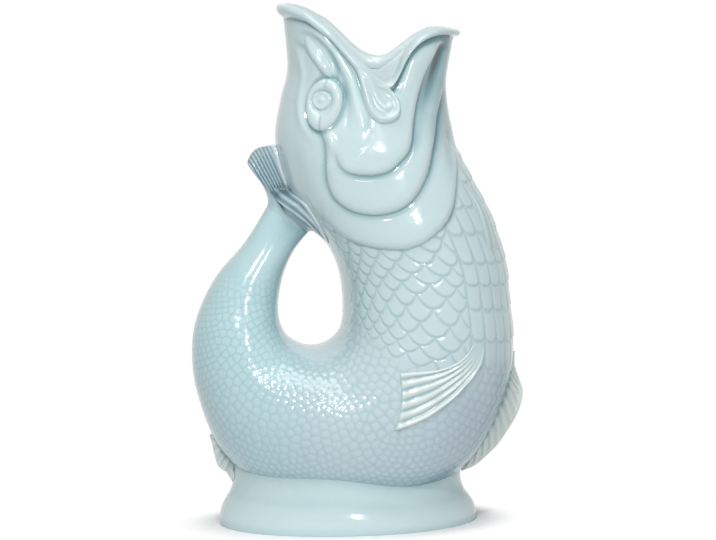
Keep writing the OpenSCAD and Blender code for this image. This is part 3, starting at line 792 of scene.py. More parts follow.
def plateRelief(plate, inside, s, side, d, strength, ends):
    # a plate rises over a quarter circle inside its line, sinks along a bell to the share it keeps,
    # and has a cove outside
    quarter = np.sqrt(1 - (1 - np.clip(d / plate["radius"], 0, 1)) ** 2)
    keeps = plate["kept"] * smoothStep(*plate["fades"], s)
    keeps = keeps * smoothStep(0, plateBorder["ends"][0], ends[0] - side)
    keeps = keeps * smoothStep(0, plateBorder["ends"][1], side - ends[1])
    falls = bell(np.maximum(d - plate["radius"], 0), plate["level"]) * (1 - keeps)
    raised = plate["rise"] * quarter * (keeps + strength * falls)
    cove = plateBorder["cove"] * bell(d, plateBorder["coveWidth"])
    tone = np.where(inside, *(bell(d, width) for width in plateBorder["toneWidths"]))
    return np.where(inside, raised, 0) - strength * cove, plateBorder["tone"] * strength * tone


def headRelief(s, side, points, right):
    # grooves and rolls are bells of the distance to their line, with the plates and a low swell
    h, dark = np.zeros(s.shape), np.zeros(s.shape)
    for name in headLines:
        line, ls, lu, strength = lineOnSkin(name, right)
        d, which = nearLine(points, line)
        strength = strength[which]
        if name in carvings:
            rise, width, tone, toneWidth = carvings[name]
            h += rise * mm * strength * bell(d, width * mm)
            dark += tone * strength * bell(d, toneWidth * mm)
        else:
            inside = insideLine(s, side, ls, lu)
            raised, tone = plateRelief(headPlates[name], inside, s, side, d, strength, (lu[0], lu[-1]))
            h += raised
            dark += tone
    s0, u0 = cheekSwell["place"]
    h += cheekSwell["rise"] * bell(s - s0, cheekSwell["high"]) * bell(side - u0, cheekSwell["wide"])
    v = np.linspace(0, 100, 120)
    low, _ = nearLine(points, section(rim(-v if right else v), v))
    # under the lower lip: a cut, darkened with painted shadow
    under = bell(low, lipUndercut["width"])
    under = under * (1 - smoothStep(*lipUndercut["sides"], side)) * smoothStep(*lipUndercut["middle"], side)
    clear = bell(low, lipUndercut["clear"]) * (1 - smoothStep(*lipUndercut["clearSides"], side))
    h = h * (1 - clear) - lipUndercut["depth"] * under
    dark += lipUndercut["tone"] * under
    # painted shade on the throat
    past = smoothStep(*throatShade["fade"], side - throatShade["side"] - throatShade["perStation"] * s)
    dark += throatShade["tone"] * (1 - past) * (1 - smoothStep(*throatShade["stations"], s))
    s0, u0 = eye["place"]
    perS, perU = metresPer(s0, u0)
    r = np.hypot((s - s0) * perS / eye["halfHigh"], (side - u0) * perU / eye["halfWide"])
    h += hump(r, eye["crease"]) * (s < eye["until"])
    dark += hump(r, eye["creaseTone"]) * (s < eye["until"])
    return h, dark


def skinRelief(s, u, points):
    # carving on the head, large scales on the flanks, small ones low down and on the tail
    side = sideOf(u)
    height, dark = np.zeros(s.shape), np.zeros(s.shape)
    if s.min() < scales["carvedUntil"]:
        for right in (True, False):
            cols = np.where(((u[0] % 360) > 180) == right)[0]
            height[:, cols], dark[:, cols] = headRelief(s[:, cols], side[:, cols], points[:, cols], right)
    ends = readTable(side, scales["ends"])
    startBlend, endBlend = scales["startBlend"], scales["endBlend"]
    small = smoothStep(ends - endBlend, ends + endBlend, s)
    if s.max() > scales["largeFrom"]:
        h, groove = largeScales(s, u)
        start = readTable(side, scales["starts"])
        share = smoothStep(start - startBlend, start + startBlend, s) * (1 - small)
        height, dark = mix(height, h, share), mix(dark, scales["largeTone"] * groove, share)
    if s.max() > scales["smallFrom"]:
        h, groove = smallScales(points)
        crotchS, crotchU, crotchShare = scales["crotch"]
        tailS, lost, gained = scales["tailFades"]
        tipS, tipShare = scales["tipFades"]
        calm = (1 - tipShare * smoothStep(*tipS, s)) * small
        calm = calm * (1 - crotchShare * smoothStep(*crotchS, s) * smoothStep(*crotchU, side))
        onTail = smoothStep(*tailS, s)
        height = height + h * calm * (1 - lost * onTail)
        dark = dark + scales["smallTone"] * groove * calm * (1 + gained * onTail)
    at = darkerBands["foot"]
    dark = dark + at["tone"] * (1 - smoothStep(*at["up"], points[..., 2]))
    at = darkerBands["tailEnd"]
    dark = dark + at["tone"] * smoothStep(*at["stations"], s) * smoothStep(*at["sides"], side)
    # painted shade along the belly fin's root
    at = darkerBands["bellyFin"]
    there = smoothStep(*at["from"], s) * (1 - smoothStep(*at["to"], s))
    dark = dark + at["tone"] * there * (1 - smoothStep(*at["sides"], side))
    return height, dark


def fishShell(name, first, last, rows, cols, innerRows, closedEnd=False, **kinds):
    # outer grid from station to station lifted by the relief, inner grid drawn in by the wall
    u = np.arange(cols) * 360 / cols
    if callable(first):
        t = np.linspace(0, 1, rows)[:, None]
        s = mix(first(u)[None, :], float(last), t)
        inS = mix(first(u)[None, :], float(last), np.linspace(0, 1, innerRows)[:, None])
    else:
        s = np.repeat(evenStations(first, last, rows)[:, None], cols, 1)
        inLast = jug["tailBlind"] if closedEnd else last
        inS = np.repeat(evenStations(first, inLast, innerRows)[:, None], cols, 1)
    uu = np.broadcast_to(u, s.shape)
    base = section(s, uu)
    height, dark = skinRelief(s, uu, base)
    outer = base + outward(s, uu) * height[..., None]
    inner = section(inS, np.broadcast_to(u, inS.shape), jug["wall"])
    glazeTone = pooled(height, jug["poolBlur"]) + dark
    points = [outer.reshape(-1, 3), inner.reshape(-1, 3)]
    # the inner wall gets painted light
    glazeTones = [glazeTone.ravel(), np.full(inner.shape[0] * cols, jug["litInsideTone"])]
    m = rows * cols
    n = innerRows * cols
    quads = [gridQuads(rows, cols), gridQuads(innerRows, cols, m)[:, ::-1], bandQuads(0, m, cols)]
    tris = None
    sharp = [(1, 0, cols), (2, m - cols, m)]
    if closedEnd:
        points.append(outer[-1].mean(0, keepdims=True))
        points.append(inner[-1].mean(0, keepdims=True))
        glazeTones.append(np.zeros(2))
        tris = np.concatenate([fanTris(m - cols, m + n, cols),
                               fanTris(m + n - cols, m + n + 1, cols)[:, ::-1]])
    else:
        quads.append(bandQuads(m - cols, m + n - cols, cols)[:, ::-1])
    return addPiece(name, np.concatenate(points), np.concatenate(quads), tris, np.concatenate(glazeTones),
                    sharp, **kinds)


fishShell("headShell", rim, jug["neck"], 230, 380, 30, slot="head_glaze", node="head", glaze=headGlaze)
print("gurgle jug: head carved")
fishShell("bellyUpper", jug["neck"], jug["belly"], 230, 380, 20, slot="body_glaze", node="body",
          glaze=bodyGlaze)
fishShell("bellyLower", jug["belly"], jug["tailRoot"], 250, 360, 24, slot="body_glaze", glaze=bodyGlaze)
print("gurgle jug: belly scaled")
fishShell("tailHandle", jug["tailRoot"], jug["tailTip"], 260, 300, 16, closedEnd=True, slot="tail_glaze",
          node="tail_handle", glaze=bodyGlaze)
print("gurgle jug: tail drawn up")

lip = {
    "sections": 480,
    "steps": 36,
    # section of the lip, out from the wall and up in mm, from its outer to its inner foot
    "upper": [[-0.3, -0.4], [0.5, 0.1], [1.7, 1.0], [2.1, 2.3], [1.5, 3.7], [0.1, 4.6], [-1.8, 4.7],
              [-3.4, 3.8], [-4.4, 2.2], [-4.7, 0.2], [-4.5, -2.0]],
    "lower": [[-0.7, -0.5], [-1.0, 0.3], [0.0, 0.9], [1.9, 1.3], [2.5, 2.3], [1.6, 3.4], [-0.4, 3.9],
              [-2.6, 3.5], [-4.2, 2.0], [-4.7, 0.2], [-4.5, -2.0]],
    "changes": (72, 96),    # side angles over which the lower lip's section becomes the upper lip's
    "whole": 4 * mm,        # height on the section at which the changes below are whole
    "lowTip": (0, 25),      # side angles over which the tip of the lower lip fades
    "highTip": (145, 175),
    "tipSettle": 1.1 * mm,
    "tipFlare": 0.8 * mm,   # outwards
    "flareSides": (150, 180),
    "lowFlare": 0.6,        # share of the flare at the lower lip's tip
    "tipDrop": 0.7 * mm,
    "dropSides": (140, 175),
    # height, side angle and width of a bell along the lip
    "flankRise": (0.8 * mm, 48, 18),
    "cornerRise": (0.7, 91, 11),    # a share of the height, on the right side
    "cornerClear": (0.5, 82, 14),   # a share of the crease's tone
    # tone, place along the section or height on it, and width
    # painted shadow under the roll of the lower lip
    "lowCrease": (1.3, 0.05, 0.1),
    "highCrease": (0.5, 0.02, 0.06),
    "crest": (-0.12, 4.2 * mm, 1.4 * mm),
    # painted light on the lip's inner side
    "litInsideFrom": (0.62, 0.95),
}


def mouthLip():
    # section of the lip carried round the rim, from the lower lip's to the upper lip's; both tips flare
    u = np.arange(lip["sections"]) * 360 / lip["sections"]
    s = rim(u)
    outerEdge = section(s, u)
    outwards = unit(outerEdge - section(s, u, jug["wall"]))
    upwards = -unit(section(s + stepS, u) - section(s - stepS, u))
    side = sideOf(u)[:, None]
    t = np.linspace(0, 1, lip["steps"])
    share = smoothStep(*lip["changes"], side)
    lower, upper = (along(lip[k], t) * mm for k in ("lower", "upper"))
    out, up = np.moveaxis(mix(lower[None], upper[None], share[..., None]), -1, 0)
    high = np.clip(up / lip["whole"], 0, 1)
    lowTip, highTip = 1 - smoothStep(*lip["lowTip"], side), smoothStep(*lip["highTip"], side)
    flare = smoothStep(*lip["flareSides"], side) + lip["lowFlare"] * lowTip
    reach = out + lip["tipFlare"] * flare * high
    corner = hump(side, lip["cornerRise"]) * (u[:, None] > 180)
    tall = up * (1 + corner) + hump(side, lip["flankRise"]) * high
    tall = tall - lip["tipDrop"] * smoothStep(*lip["dropSides"], side)
    tall = tall - lip["tipSettle"] * (lowTip + highTip) * (1 - high)
    ring = outerEdge[:, None] + outwards[:, None] * reach[..., None] + upwards[:, None] * tall[..., None]
    # painted shadow under the lower lip's roll; a darker groove under the upper lip
    crease = (1 - share) * hump(t, lip["lowCrease"]) + share * hump(t, lip["highCrease"])
    glazeTone = crease * (1 - hump(side, lip["cornerClear"])) + hump(up, lip["crest"])
    # painted light: the lip's inner side is drawn paler
    glazeTone = glazeTone + jug["litInsideTone"] * smoothStep(*lip["litInsideFrom"], t)
    addPiece("mouthLip", ring, gridQuads(lip["sections"], lip["steps"], looped=True), glazeTone=glazeTone.ravel(),
             slot="lip_glaze", node="mouth_lip", glaze=lipGlaze)


mouthLip()
print("gurgle jug: lip rolled")

flanks = (("left", 1), ("right", -1))    # and the sign of Y there
sink = 0.7 * mm                          # how far leaves and eyes reach under the skin


def edgeLoop(rows, cols):    # points round the edge of a grid
    top, right = np.arange(cols), np.arange(1, rows) * cols + cols - 1
    bottom, left = (rows - 1) * cols + np.arange(cols - 2, -1, -1), np.arange(rows - 2, 0, -1) * cols
    return np.concatenate([top, right, bottom, left])


def leafPair(names, first, second, lift, rows, cols, slot, node, glaze, carved="", leftDrop=0.0):
    # grid between two edges on the skin, lifted by a function of the shares along and across; a
    # carved leaf adds the head's own carving with its tones ("all") or its mean height ("rise")
    a = (1 - np.cos(np.linspace(0, math.pi, rows))) / 2
    b = (1 - np.cos(np.linspace(0, math.pi, cols))) / 2
    aa, bb = np.meshgrid(a, b, indexing="ij")
    place = mix(along(first, a)[:, None], along(second, a)[:, None], bb[..., None])
    s, u = place[..., 0], place[..., 1]
    m = rows * cols
    loop = edgeLoop(rows, cols)
    ahead = np.roll(loop, -1)
    quads = np.concatenate([gridQuads(rows, cols, 0, False), gridQuads(rows, cols, m, False)[:, ::-1],
                            np.stack([loop, loop + m, ahead + m, ahead], -1)])
    height, dark = lift(aa, bb, section(s, u))
    for side, sign in flanks:
        st = besideMouth(s, u, side == "right") + (leftDrop if side == "left" else 0)
        top, tone = height, pooled(height, jug["leafBlur"], wrap=False) + dark
        if carved:
            h, d = headRelief(st, u, section(st, u), side == "right")
        if carved == "all":
            top, tone = height + h, pooled(h, jug["leafBlur"], wrap=False) + d
        elif carved:
            top = height + softened(h, 9, 9, wrap=False)
        under = skin(st, u, top.min() - sink + 0 * s)
        points = np.concatenate([skin(st, u, top).reshape(-1, 3), under.reshape(-1, 3)])
        points[:, 1] *= sign
        addPiece(names.format(side.capitalize()), points, quads, node=node.format(side), slot=slot,
                 glazeTone=np.concatenate([tone.ravel(), np.zeros(m)]), glaze=glaze)


def rounded(t, rise, fall):    # 0 at both ends, quarter circles of the given shares between
    up = np.sqrt(np.clip(1 - (1 - np.clip(t / rise, 0, 1)) ** 2, 0, 1))
    down = np.sqrt(np.clip(1 - (1 - np.clip((1 - t) / fall, 0, 1)) ** 2, 0, 1))
    return up * down


leafs = {
    # the cheek plates and gill covers lie between two carved lines, whose coves hide their borders
    "gillTop": [[6.1, 124], [6.38, 122.5], [6.68, 116], [6.83, 102.5], [6.66, 87], [6.1, 69.5],
                [5.3, 53.5], [4.65, 45.5]],
    "gillLow": [[7.18, 141], [7.55, 134], [7.76, 122], [7.8, 106], [7.52, 81.5], [6.9, 59.5],
                [6.1, 41], [5.4, 28]],
    "cheekTop": [[5.0, 111], [5.38, 108.5], [5.55, 103.5], [5.58, 93], [5.43, 81], [4.9, 68],
                 [3.9, 61], [3.0, 55]],
    "cheekLow": [[5.4, 121.5], [6.08, 124], [6.66, 116], [6.81, 102.5], [6.63, 87], [6.06, 69],
                 [4.63, 46], [3.5, 36]],
    "hair": 0.2 * mm,
    "hairEnds": (0.2, 0.3),     # shares of the length and of the width that round off
    "browFront": [[0.75, 137], [1.1, 126], [1.6, 118], [2, 117]],
    "browBack": [[0.85, 143], [1.3, 140], [1.75, 131], [2.05, 123]],
    "browRise": 2.6 * mm,
    "browSunk": 0.15 * mm,
    "browPowers": (0.9, 1.5),   # of the sines along and across
}
pectoral = {
    "low": [[10, 55], [10.4, 58], [10.85, 63], [11.27, 69.5], [11.67, 77], [12.1, 83], [12.6, 88]],
    "top": [[9.95, 63], [10.35, 70.5], [10.65, 77.5], [10.87, 84.5], [11.06, 92], [11.2, 99],
            [11.38, 107]],
    "rise": 3.4 * mm,
    "sunk": 0.3 * mm,
    "rays": 5,
    "rayBand": (0.07, 0.9),         # where the rays start across the fin, and how much they take
    "raysFrom": (0.1, 0.55),        # shares of the length over which they grow
    "level": 0.5,
    "lowEdge": (0.22, 0, 0.12),     # extra height, place across the fin and width
    "topEdge": (0.12, 1, 0.1),
    "end": 0.25,
    "endFrom": (0.88, 0.97),
    "valley": 0.24,
    "shallow": (0.9, 0.98),         # shares of the length over which the valleys lose half
    "rootRise": 0.3,
    "valleyTone": 0.5,
    "rootTone": 0.2,
    "rootFades": (0.05, 0.4),
    "rayTone": 0.45,
    "rayFades": (0.05, 0.5),
    "endFades": (0.93, 1),
    "roundEnds": (0.02, 0.04),      # shares of the length and of the width that round off
    "roundEdges": (0.08, 0.07),
}
pelvic = {
    "in": [[6.1, 24], [6.6, 20], [7.2, 18], [7.8, 19]],
    "out": [[6.1, 30], [6.6, 34], [7.2, 40], [7.7, 44]],
    "rise": 2.6 * mm,
    "sunk": 0.3 * mm,
    "rays": 4,
    "level": 0.85,
    "valley": 0.16,
    "valleyTone": 0.25,
    "tone": 0.2,
    "powers": (0.6, 0.8),       # of the sines along and across
}


def hairLift(a, b, places):    # a hair above the carving, a little below it at the edges
    endways, across = leafs["hairEnds"]
    return leafs["hair"] * (rounded(a, endways, endways) * rounded(b, across, across) * 1.5 - 0.5), 0 * a


def pectoralLift(a, b, places):
    # rays from the root to the trailing edge, a thick rounded lower edge and a raised end
    fin = pectoral
    start, wide = fin["rayBand"]
    rays = 0.5 + 0.5 * np.cos(2 * math.pi * fin["rays"] * np.clip((b - start) / wide, 0, 1))
    spread = smoothStep(*fin["raysFrom"], a)
    body = fin["level"] + hump(b, fin["lowEdge"]) + hump(b, fin["topEdge"])
    body = body + fin["end"] * smoothStep(*fin["endFrom"], a)
    valley = fin["valley"] * (1 - rays) * spread * (1 - 0.5 * smoothStep(*fin["shallow"], a))
    root = np.sin(np.minimum(a / fin["rootRise"], 1) * math.pi / 2)
    edge = rounded(a, *fin["roundEnds"]) * rounded(b, *fin["roundEdges"])
    height = fin["rise"] * root * edge * (body - valley)
    tone = fin["valleyTone"] * (1 - rays) ** 2 * spread
    tone = tone + fin["rootTone"] * (1 - smoothStep(*fin["rootFades"], a))
    tone = tone - fin["rayTone"] * smoothStep(*fin["rayFades"], a) * rays
    return height - fin["sunk"], tone * (1 - 0.5 * smoothStep(*fin["endFades"], a))


def pelvicLift(a, b, places):    # product of powers of two sines, with rays along it
    rays = 0.5 + 0.5 * np.cos(2 * math.pi * pelvic["rays"] * b)
    endways, across = pelvic["powers"]
    swell = np.sin(math.pi * a) ** endways * np.sin(math.pi * b) ** across
    height = pelvic["rise"] * swell * (pelvic["level"] - pelvic["valley"] * (1 - rays))
    return height - pelvic["sunk"], pelvic["valleyTone"] * (1 - rays) ** 2 + pelvic["tone"]


def browLift(a, b, places):    # product of powers of two sines
    endways, across = leafs["browPowers"]
    height = leafs["browRise"] * np.sin(math.pi * a) ** endways * np.sin(math.pi * b) ** across
    return height - leafs["browSunk"], np.zeros(a.shape)


leafPair("gillCover{}", leafs["gillTop"], leafs["gillLow"], hairLift, 230, 90, carved="all",
         slot="head_glaze", node="gill_cover_{}", glaze=headGlaze)
leafPair("cheekPlate{}", leafs["cheekTop"], leafs["cheekLow"], hairLift, 210, 80, carved="all",
         slot="head_glaze", node="cheek_plate_{}", glaze=headGlaze)
leafPair("pectoralFin{}", pectoral["low"], pectoral["top"], pectoralLift, 160, 130,
         slot="fin_glaze", node="pectoral_fin_{}", glaze=finGlaze)
leafPair("pelvicFin{}", pelvic["in"], pelvic["out"], pelvicLift, 100, 80,
         slot="fin_glaze", node="pelvic_fin_{}", glaze=finGlaze)
leafPair("browLeaf{}", leafs["browFront"], leafs["browBack"], browLift, 90, 50, carved="rise",
         slot="head_glaze", node="brow_leaf_{}", glaze=headGlaze)
print("gurgle jug: gill covers, cheeks and side fins laid on")


def eyeProfile(r, v):
    # half a torus round a flat dish; in the dish a fine cut circle, a rim inside it and the pupil
    down = r * np.cos(v) * eye["halfHigh"]
    forward = -r * np.sin(v) * eye["halfWide"]
    up, front = eye["pupil"]
    ring = np.hypot(down + up, forward + front)
    place, width = eye["torus"]
    torus = np.sqrt(np.clip(1 - ((r - place) / width) ** 2, 0, 1))
    dish = eye["dish"] * (1 - smoothStep(*eye["dishEdge"], r))
    blend = eye["blend"]
    soft = np.log(np.exp(blend * torus) + np.exp(blend * dish)) / blend - eye["level"]
    slit = hump(forward, eye["slit"]) * smoothStep(*eye["slitFrom"], r)
    height = eye["rise"] * soft - eye["slitDepth"] * slit
    height += hump(ring, eye["iris"]) + hump(ring, eye["irisRim"]) + hump(ring, eye["pupilDome"])
    dark = hump(ring, eye["irisTone"]) + eye["edgeTone"] * smoothStep(*eye["edge"], r)
    dark = dark + eye["slitTone"] * slit
    return height * (1 - smoothStep(*eye["closes"], r)) - eye["sunk"], dark


def eyePair(rings=60, sides=120):
    # rings about a centre on the skin, lifted by the profile of the radius share and the angle
    r = np.linspace(0, 1, rings + 1)[1:]
    v = np.arange(sides) * 2 * math.pi / sides
    rr, vv = np.meshgrid(r, v, indexing="ij")
    s0, u0 = eye["place"]
    perS, perU = metresPer(s0, u0)
    s = s0 + eye["halfHigh"] * rr * np.cos(vv) / perS
    u = u0 + eye["halfWide"] * rr * np.sin(vv) / perU
    height, dark = eyeProfile(rr, vv)
    middle, _ = eyeProfile(np.zeros(1), np.zeros(1))
    m = rings * sides
    top, base = skin(s, u, height), skin(s, u, np.full(s.shape, -sink))
    tips = [skin([s0], [u0], lift) for lift in (middle, [-sink])]
    points = np.concatenate([top.reshape(-1, 3), base.reshape(-1, 3), *tips])
    quads = np.concatenate([gridQuads(rings, sides), gridQuads(rings, sides, m)[:, ::-1],
                            bandQuads(m - sides, 2 * m - sides, sides)[:, ::-1]])
    tris = np.concatenate([fanTris(0, 2 * m, sides)[:, ::-1], fanTris(m, 2 * m + 1, sides)])
    glazeTones = np.concatenate([(pooled(height, 2.5) + dark).ravel(), np.zeros(m + 2)])
    for side, sign in flanks:
        addPiece("eye" + side.capitalize(), points * [1, sign, 1], quads, tris, glazeTones,
                 slot="face_glaze", node="eye_" + side, glaze=faceGlaze)


eyePair()

barbel = {    # the end of the upper lip, which hangs over the corner of the mouth
    "left": [[1.55, 100.6], [1.8, 98.8], [2.1, 97], [2.55, 94.6], [3.0, 92.4], [3.35, 89.8],
             [3.56, 86], [3.62, 82]],
    "right": [[1.5, 99.6], [1.7, 93.5], [1.93, 87], [2.15, 80.5], [2.4, 75.2], [2.85, 70.8],
              [3.32, 71.2], [3.6, 77.5]],
    "outer": [[1.6, 98], [2.08, 95.0], [2.55, 92.2], [2.98, 90], [3.28, 87.5], [3.43, 83.5],
              [3.46, 79.5], [3.38, 75.5], [3.18, 72.8], [2.9, 72], [2.62, 73.4], [2.38, 76], [2.2, 79.5]],
    "inner": [[1.55, 95.5], [2.08, 90.5], [2.45, 87.8], [2.85, 84.5], [3.08, 80.5], [3.03, 77.5]],
    "rise": 1.6 * mm,
    "sunk": 0.35 * mm,
    "outerRoll": (1.3 * mm, 1.6 * mm),      # height and width of the rolls
    "innerRoll": (0.9 * mm, 1.3 * mm),
    "between": (0.12, 1.4 * mm, 1.2 * mm),  # tone between the rolls and how far it stays off each
    "roundEnds": (0.5, 0.1),                # shares of the length and of the width that round off
    "roundEdges": (0.16, 0.16),
}


def barbelLift(a, b, places):
    # plateau with a roll along its border and a lower roll inside it
    lines = (section(*along(barbel[k], np.linspace(0, 1, 120)).T) for k in ("outer", "inner"))
    outer, inner = (nearLine(places, line)[0] for line in lines)
    height = barbel["rise"] + hump(outer, barbel["outerRoll"]) + hump(inner, barbel["innerRoll"])
    edge = rounded(a, *barbel["roundEnds"]) * rounded(b, *barbel["roundEdges"])
    tone, offOuter, offInner = barbel["between"]
    dark = tone * (1 - bell(outer, offOuter)) * (1 - bell(inner, offInner)) * edge
    return height * edge - barbel["sunk"], dark


leafPair("barbel{}", barbel["left"], barbel["right"], barbelLift, 130, 90, leftDrop=0.3, carved="rise",
         slot="face_glaze", node="barbel_{}", glaze=faceGlaze)
print("gurgle jug: eyes and barbels set")

tailFin = {
    "top": [[-0.224, 0.622], [-0.24, 0.649], [-0.268, 0.674], [-0.282, 0.693], [-0.254, 0.717]],
    "low": [[-0.082, 0.557], [-0.064, 0.546]],
    "stations": (7.9, 4.55),    # of its lower and its upper end on the back of the head
    "halfThick": 7.5 * mm,
    "lowHalfThick": 19 * mm,    # of the lower lobe where it lies round the back of the head
    "lobes": (0.42, 0.62),      # shares of its height over which one thickness becomes the other
    "thickBy": 0.95,            # share of the way from the tail to the head
    "roundness": 0.5,
    "pivot": (-0.0105, 0.114),  # metres; the rays of the upper lobe fan out from here
    "rayAngle": 1.5,            # degrees from ray to ray
    "lowRays": 6,
    "lowSlant": 0.35,
    "raysFrom": (0.2, 0.55),
    "raysOffEdge": (0.0, 0.25),
    "rayRise": 0.3 * mm,
    "raySunk": 0.6 * mm,
    "notch": 0.57,              # share of its height
    "notchWide": 0.035,
    "notchFrom": (0.15, 0.45),
    "notchDepth": 1.4 * mm,
    "lobeBlend": 0.05,
    "ridge": (0.93, 0.97),      # along the free edge
    "ridgeRise": 1.5 * mm,
    "edgeThin": 2 * mm,         # thinner than this, the relief fades
    "rayTones": (0.5, 0.4),     # between the rays, and less on them
    "notchTone": 0.6,
    "ridgeTone": 0.5,
    "rootTone": 0.35,
    "rootSides": (40, 110),
    "rows": 170,
    "cols": 380,
}


def tailFinShape():
    # blend of the four edges: tail tip, two free edges and the back of the head; its section is a
    # power ellipse whose half thickness goes from the tail's to the fin's
    f = np.linspace(0, 1, tailFin["rows"])
    tip = jug["tailTip"]

    def back(q):
        st = mix(*tailFin["stations"], q)
        return skin(st, np.full(np.shape(st), 180.0), np.full(np.shape(st), jug["seam"]))

    def path(start, shares, end):
        middle = [[x * jug["length"], 0, z * jug["height"]] for x, z in shares]
        return along(np.array([start, *middle, end]), f)

    top = path(section(tip, 0.0), tailFin["top"], back(1.0))
    low = path(section(tip, 180.0), tailFin["low"], back(0.0))
    u = np.radians(np.arange(tailFin["cols"]) * 360 / tailFin["cols"])
    q = (1 + signedPower(np.cos(u), jug["fullness"])) / 2
    bulge = back(q) - mix(back(0.0), back(1.0), q[:, None])
    mid = mix(low[:, None], top[:, None], q[None, :, None]) + bulge[None] * f[:, None, None]
    end = mix(tailFin["lowHalfThick"], tailFin["halfThick"], smoothStep(*tailFin["lobes"], q))[None]
    half = mix(jug["stages"][-1][4] * jug["width"], end, smoothStep(0, tailFin["thickBy"], f)[:, None])
    power = mix(jug["fullness"], tailFin["roundness"], f)[:, None]
    y = half * signedPower(np.sin(u)[None], power)
    qq, ff = np.broadcast_to(q[None], y.shape), np.broadcast_to(f[:, None], y.shape)
    aim = np.degrees(np.arctan2(tailFin["pivot"][0] - mid[..., 0], mid[..., 2] - tailFin["pivot"][1]))
    lobe = smoothStep(tailFin["notch"], tailFin["notch"] + tailFin["lobeBlend"], qq)
    lowRays = np.cos(2 * math.pi * tailFin["lowRays"] * (ff + tailFin["lowSlant"] * qq))
    rays = mix(lowRays, np.cos(2 * math.pi * aim / tailFin["rayAngle"]), lobe)
    ridge = smoothStep(*tailFin["ridge"], ff)
    strength = smoothStep(*tailFin["raysFrom"], ff) * (1 - ridge)
    strength = strength * smoothStep(*tailFin["raysOffEdge"], np.abs(np.sin(u)))[None]
    notch = bell(qq - tailFin["notch"], tailFin["notchWide"]) * smoothStep(*tailFin["notchFrom"], ff)
    ridge = ridge * (1 - notch)
    lift = strength * (tailFin["rayRise"] * rays - tailFin["raySunk"])
    lift = lift - tailFin["notchDepth"] * notch + tailFin["ridgeRise"] * ridge
    y = y + np.sign(np.sin(u))[None] * lift * np.minimum(1, np.abs(y) / tailFin["edgeThin"])
    # near the head the fin follows the skin at the same distance from the middle plane
    st = mix(*tailFin["stations"], q)
    turn = turnAt(st, y)
    hug = section(st[None] + 0 * turn, 180 - turn) - section(st, 180.0)[None]
    points = mid + hug * (ff ** 3)[..., None]
    points[..., 1] = y
    between, less = tailFin["rayTones"]
    glazeTone = strength * (between - less * rays) + tailFin["notchTone"] * notch - tailFin["ridgeTone"] * ridge
    root = smoothStep(*tailFin["rootSides"], sideOf(np.degrees(u)))[None]
    glazeTone = glazeTone + tailFin["rootTone"] * (1 - strength) * (1 - smoothStep(*tailFin["ridge"], ff)) * root
    addTube("tailFin", points, glazeTone, [(1, 0, tailFin["cols"])], slot="fin_glaze", node="tail_fin",
            glaze=tailFinGlaze)


tailFinShape()
print("gurgle jug: tail fin joined")

foot = {
    "length": 0.118,
    "width": 0.078,
    "wall": 7 * mm,
    # share of the height, of the half length and of the half width
    "profile": [[0, 0.985, 0.98], [0.05, 0.996, 0.995], [0.15, 1, 1], [0.3, 0.982, 0.978],
                [0.42, 0.95, 0.952], [0.55, 0.912, 0.938], [0.75, 0.885, 0.93], [1, 0.885, 0.93]],
    "sunk": 0.3 * mm,       # how far its top reaches into the belly
    "gap": 0.5 * mm,        # to the fins beside it
    "tones": ((0.25, 1, 0.12), (0.1, 0.55, 0.1), (-0.12, 0.2, 0.12)),    # tone, share of the height, width
    "under": (11.0, 17.0),  # stations between which the belly stands on it
    "halvings": 18,
    "rows": 70,
    "innerRows": 12,
    "cols": 320,
}


def underStation(x, y):
    # station and side angle of the underside over a place on the table, found by halving
    low, high = (np.full(np.shape(x), station) for station in foot["under"])
    for _ in range(foot["halvings"]):
        s = (low + high) / 2
        u = np.sign(y) * turnAt(s, y)
        further = section(s, u)[..., 0] > x
        low, high = np.where(further, s, low), np.where(further, high, s)
    return s, u


def footRing():
    # profile of height, half length and half width, carried round an ellipse; the top follows the belly
    rows, innerRows, cols, wall = (foot[k] for k in ("rows", "innerRows", "cols", "wall"))
    a = np.radians(np.arange(cols) * 360 / cols)

    def ring(halfL, halfW, z):
        return np.stack(np.broadcast_arrays(halfL * np.cos(a), halfW * np.sin(a), z), -1)

    def under(halfL, halfW):
        s, u = underStation(halfL * np.cos(a), halfW * np.sin(a))
        return skin(s, u, np.full(s.shape, -foot["sunk"]))

    h, longShare, wideShare = along(foot["profile"], np.linspace(0, 1, rows)).T[..., None]
    halfL, halfW = foot["length"] / 2, foot["width"] / 2
    neckL, neckW = halfL * foot["profile"][-1][1], halfW * foot["profile"][-1][2]
    outerTop, innerTop = under(neckL, neckW), under(neckL - wall, neckW - wall)
    outer = ring(halfL * longShare, halfW * wideShare, h * outerTop[:, 2])
    outer[-1] = outerTop
    g = np.linspace(0, 1, innerRows)[:, None]
    inner = ring(mix(halfL, neckL, g) - wall, mix(halfW, neckW, g) - wall, g * innerTop[:, 2])
    inner[-1] = innerTop
    m, n = rows * cols, innerRows * cols
    glazeTone = sum(hump(h, spec) for spec in foot["tones"])
    quads = np.concatenate([gridQuads(rows, cols), gridQuads(innerRows, cols, m)[:, ::-1],
                            bandQuads(0, m, cols), bandQuads(m - cols, m + n - cols, cols)[:, ::-1]])
    addPiece("footRing", np.concatenate([outer.reshape(-1, 3), inner.reshape(-1, 3)]), quads,
             glazeTone=np.concatenate([np.repeat(glazeTone, cols), np.zeros(n)]),
             sharp=[(1, 0, cols), (2, m - cols, m)], slot="foot_glaze", node="foot", glaze=footGlaze)


footRing()
print("gurgle jug: foot thrown")

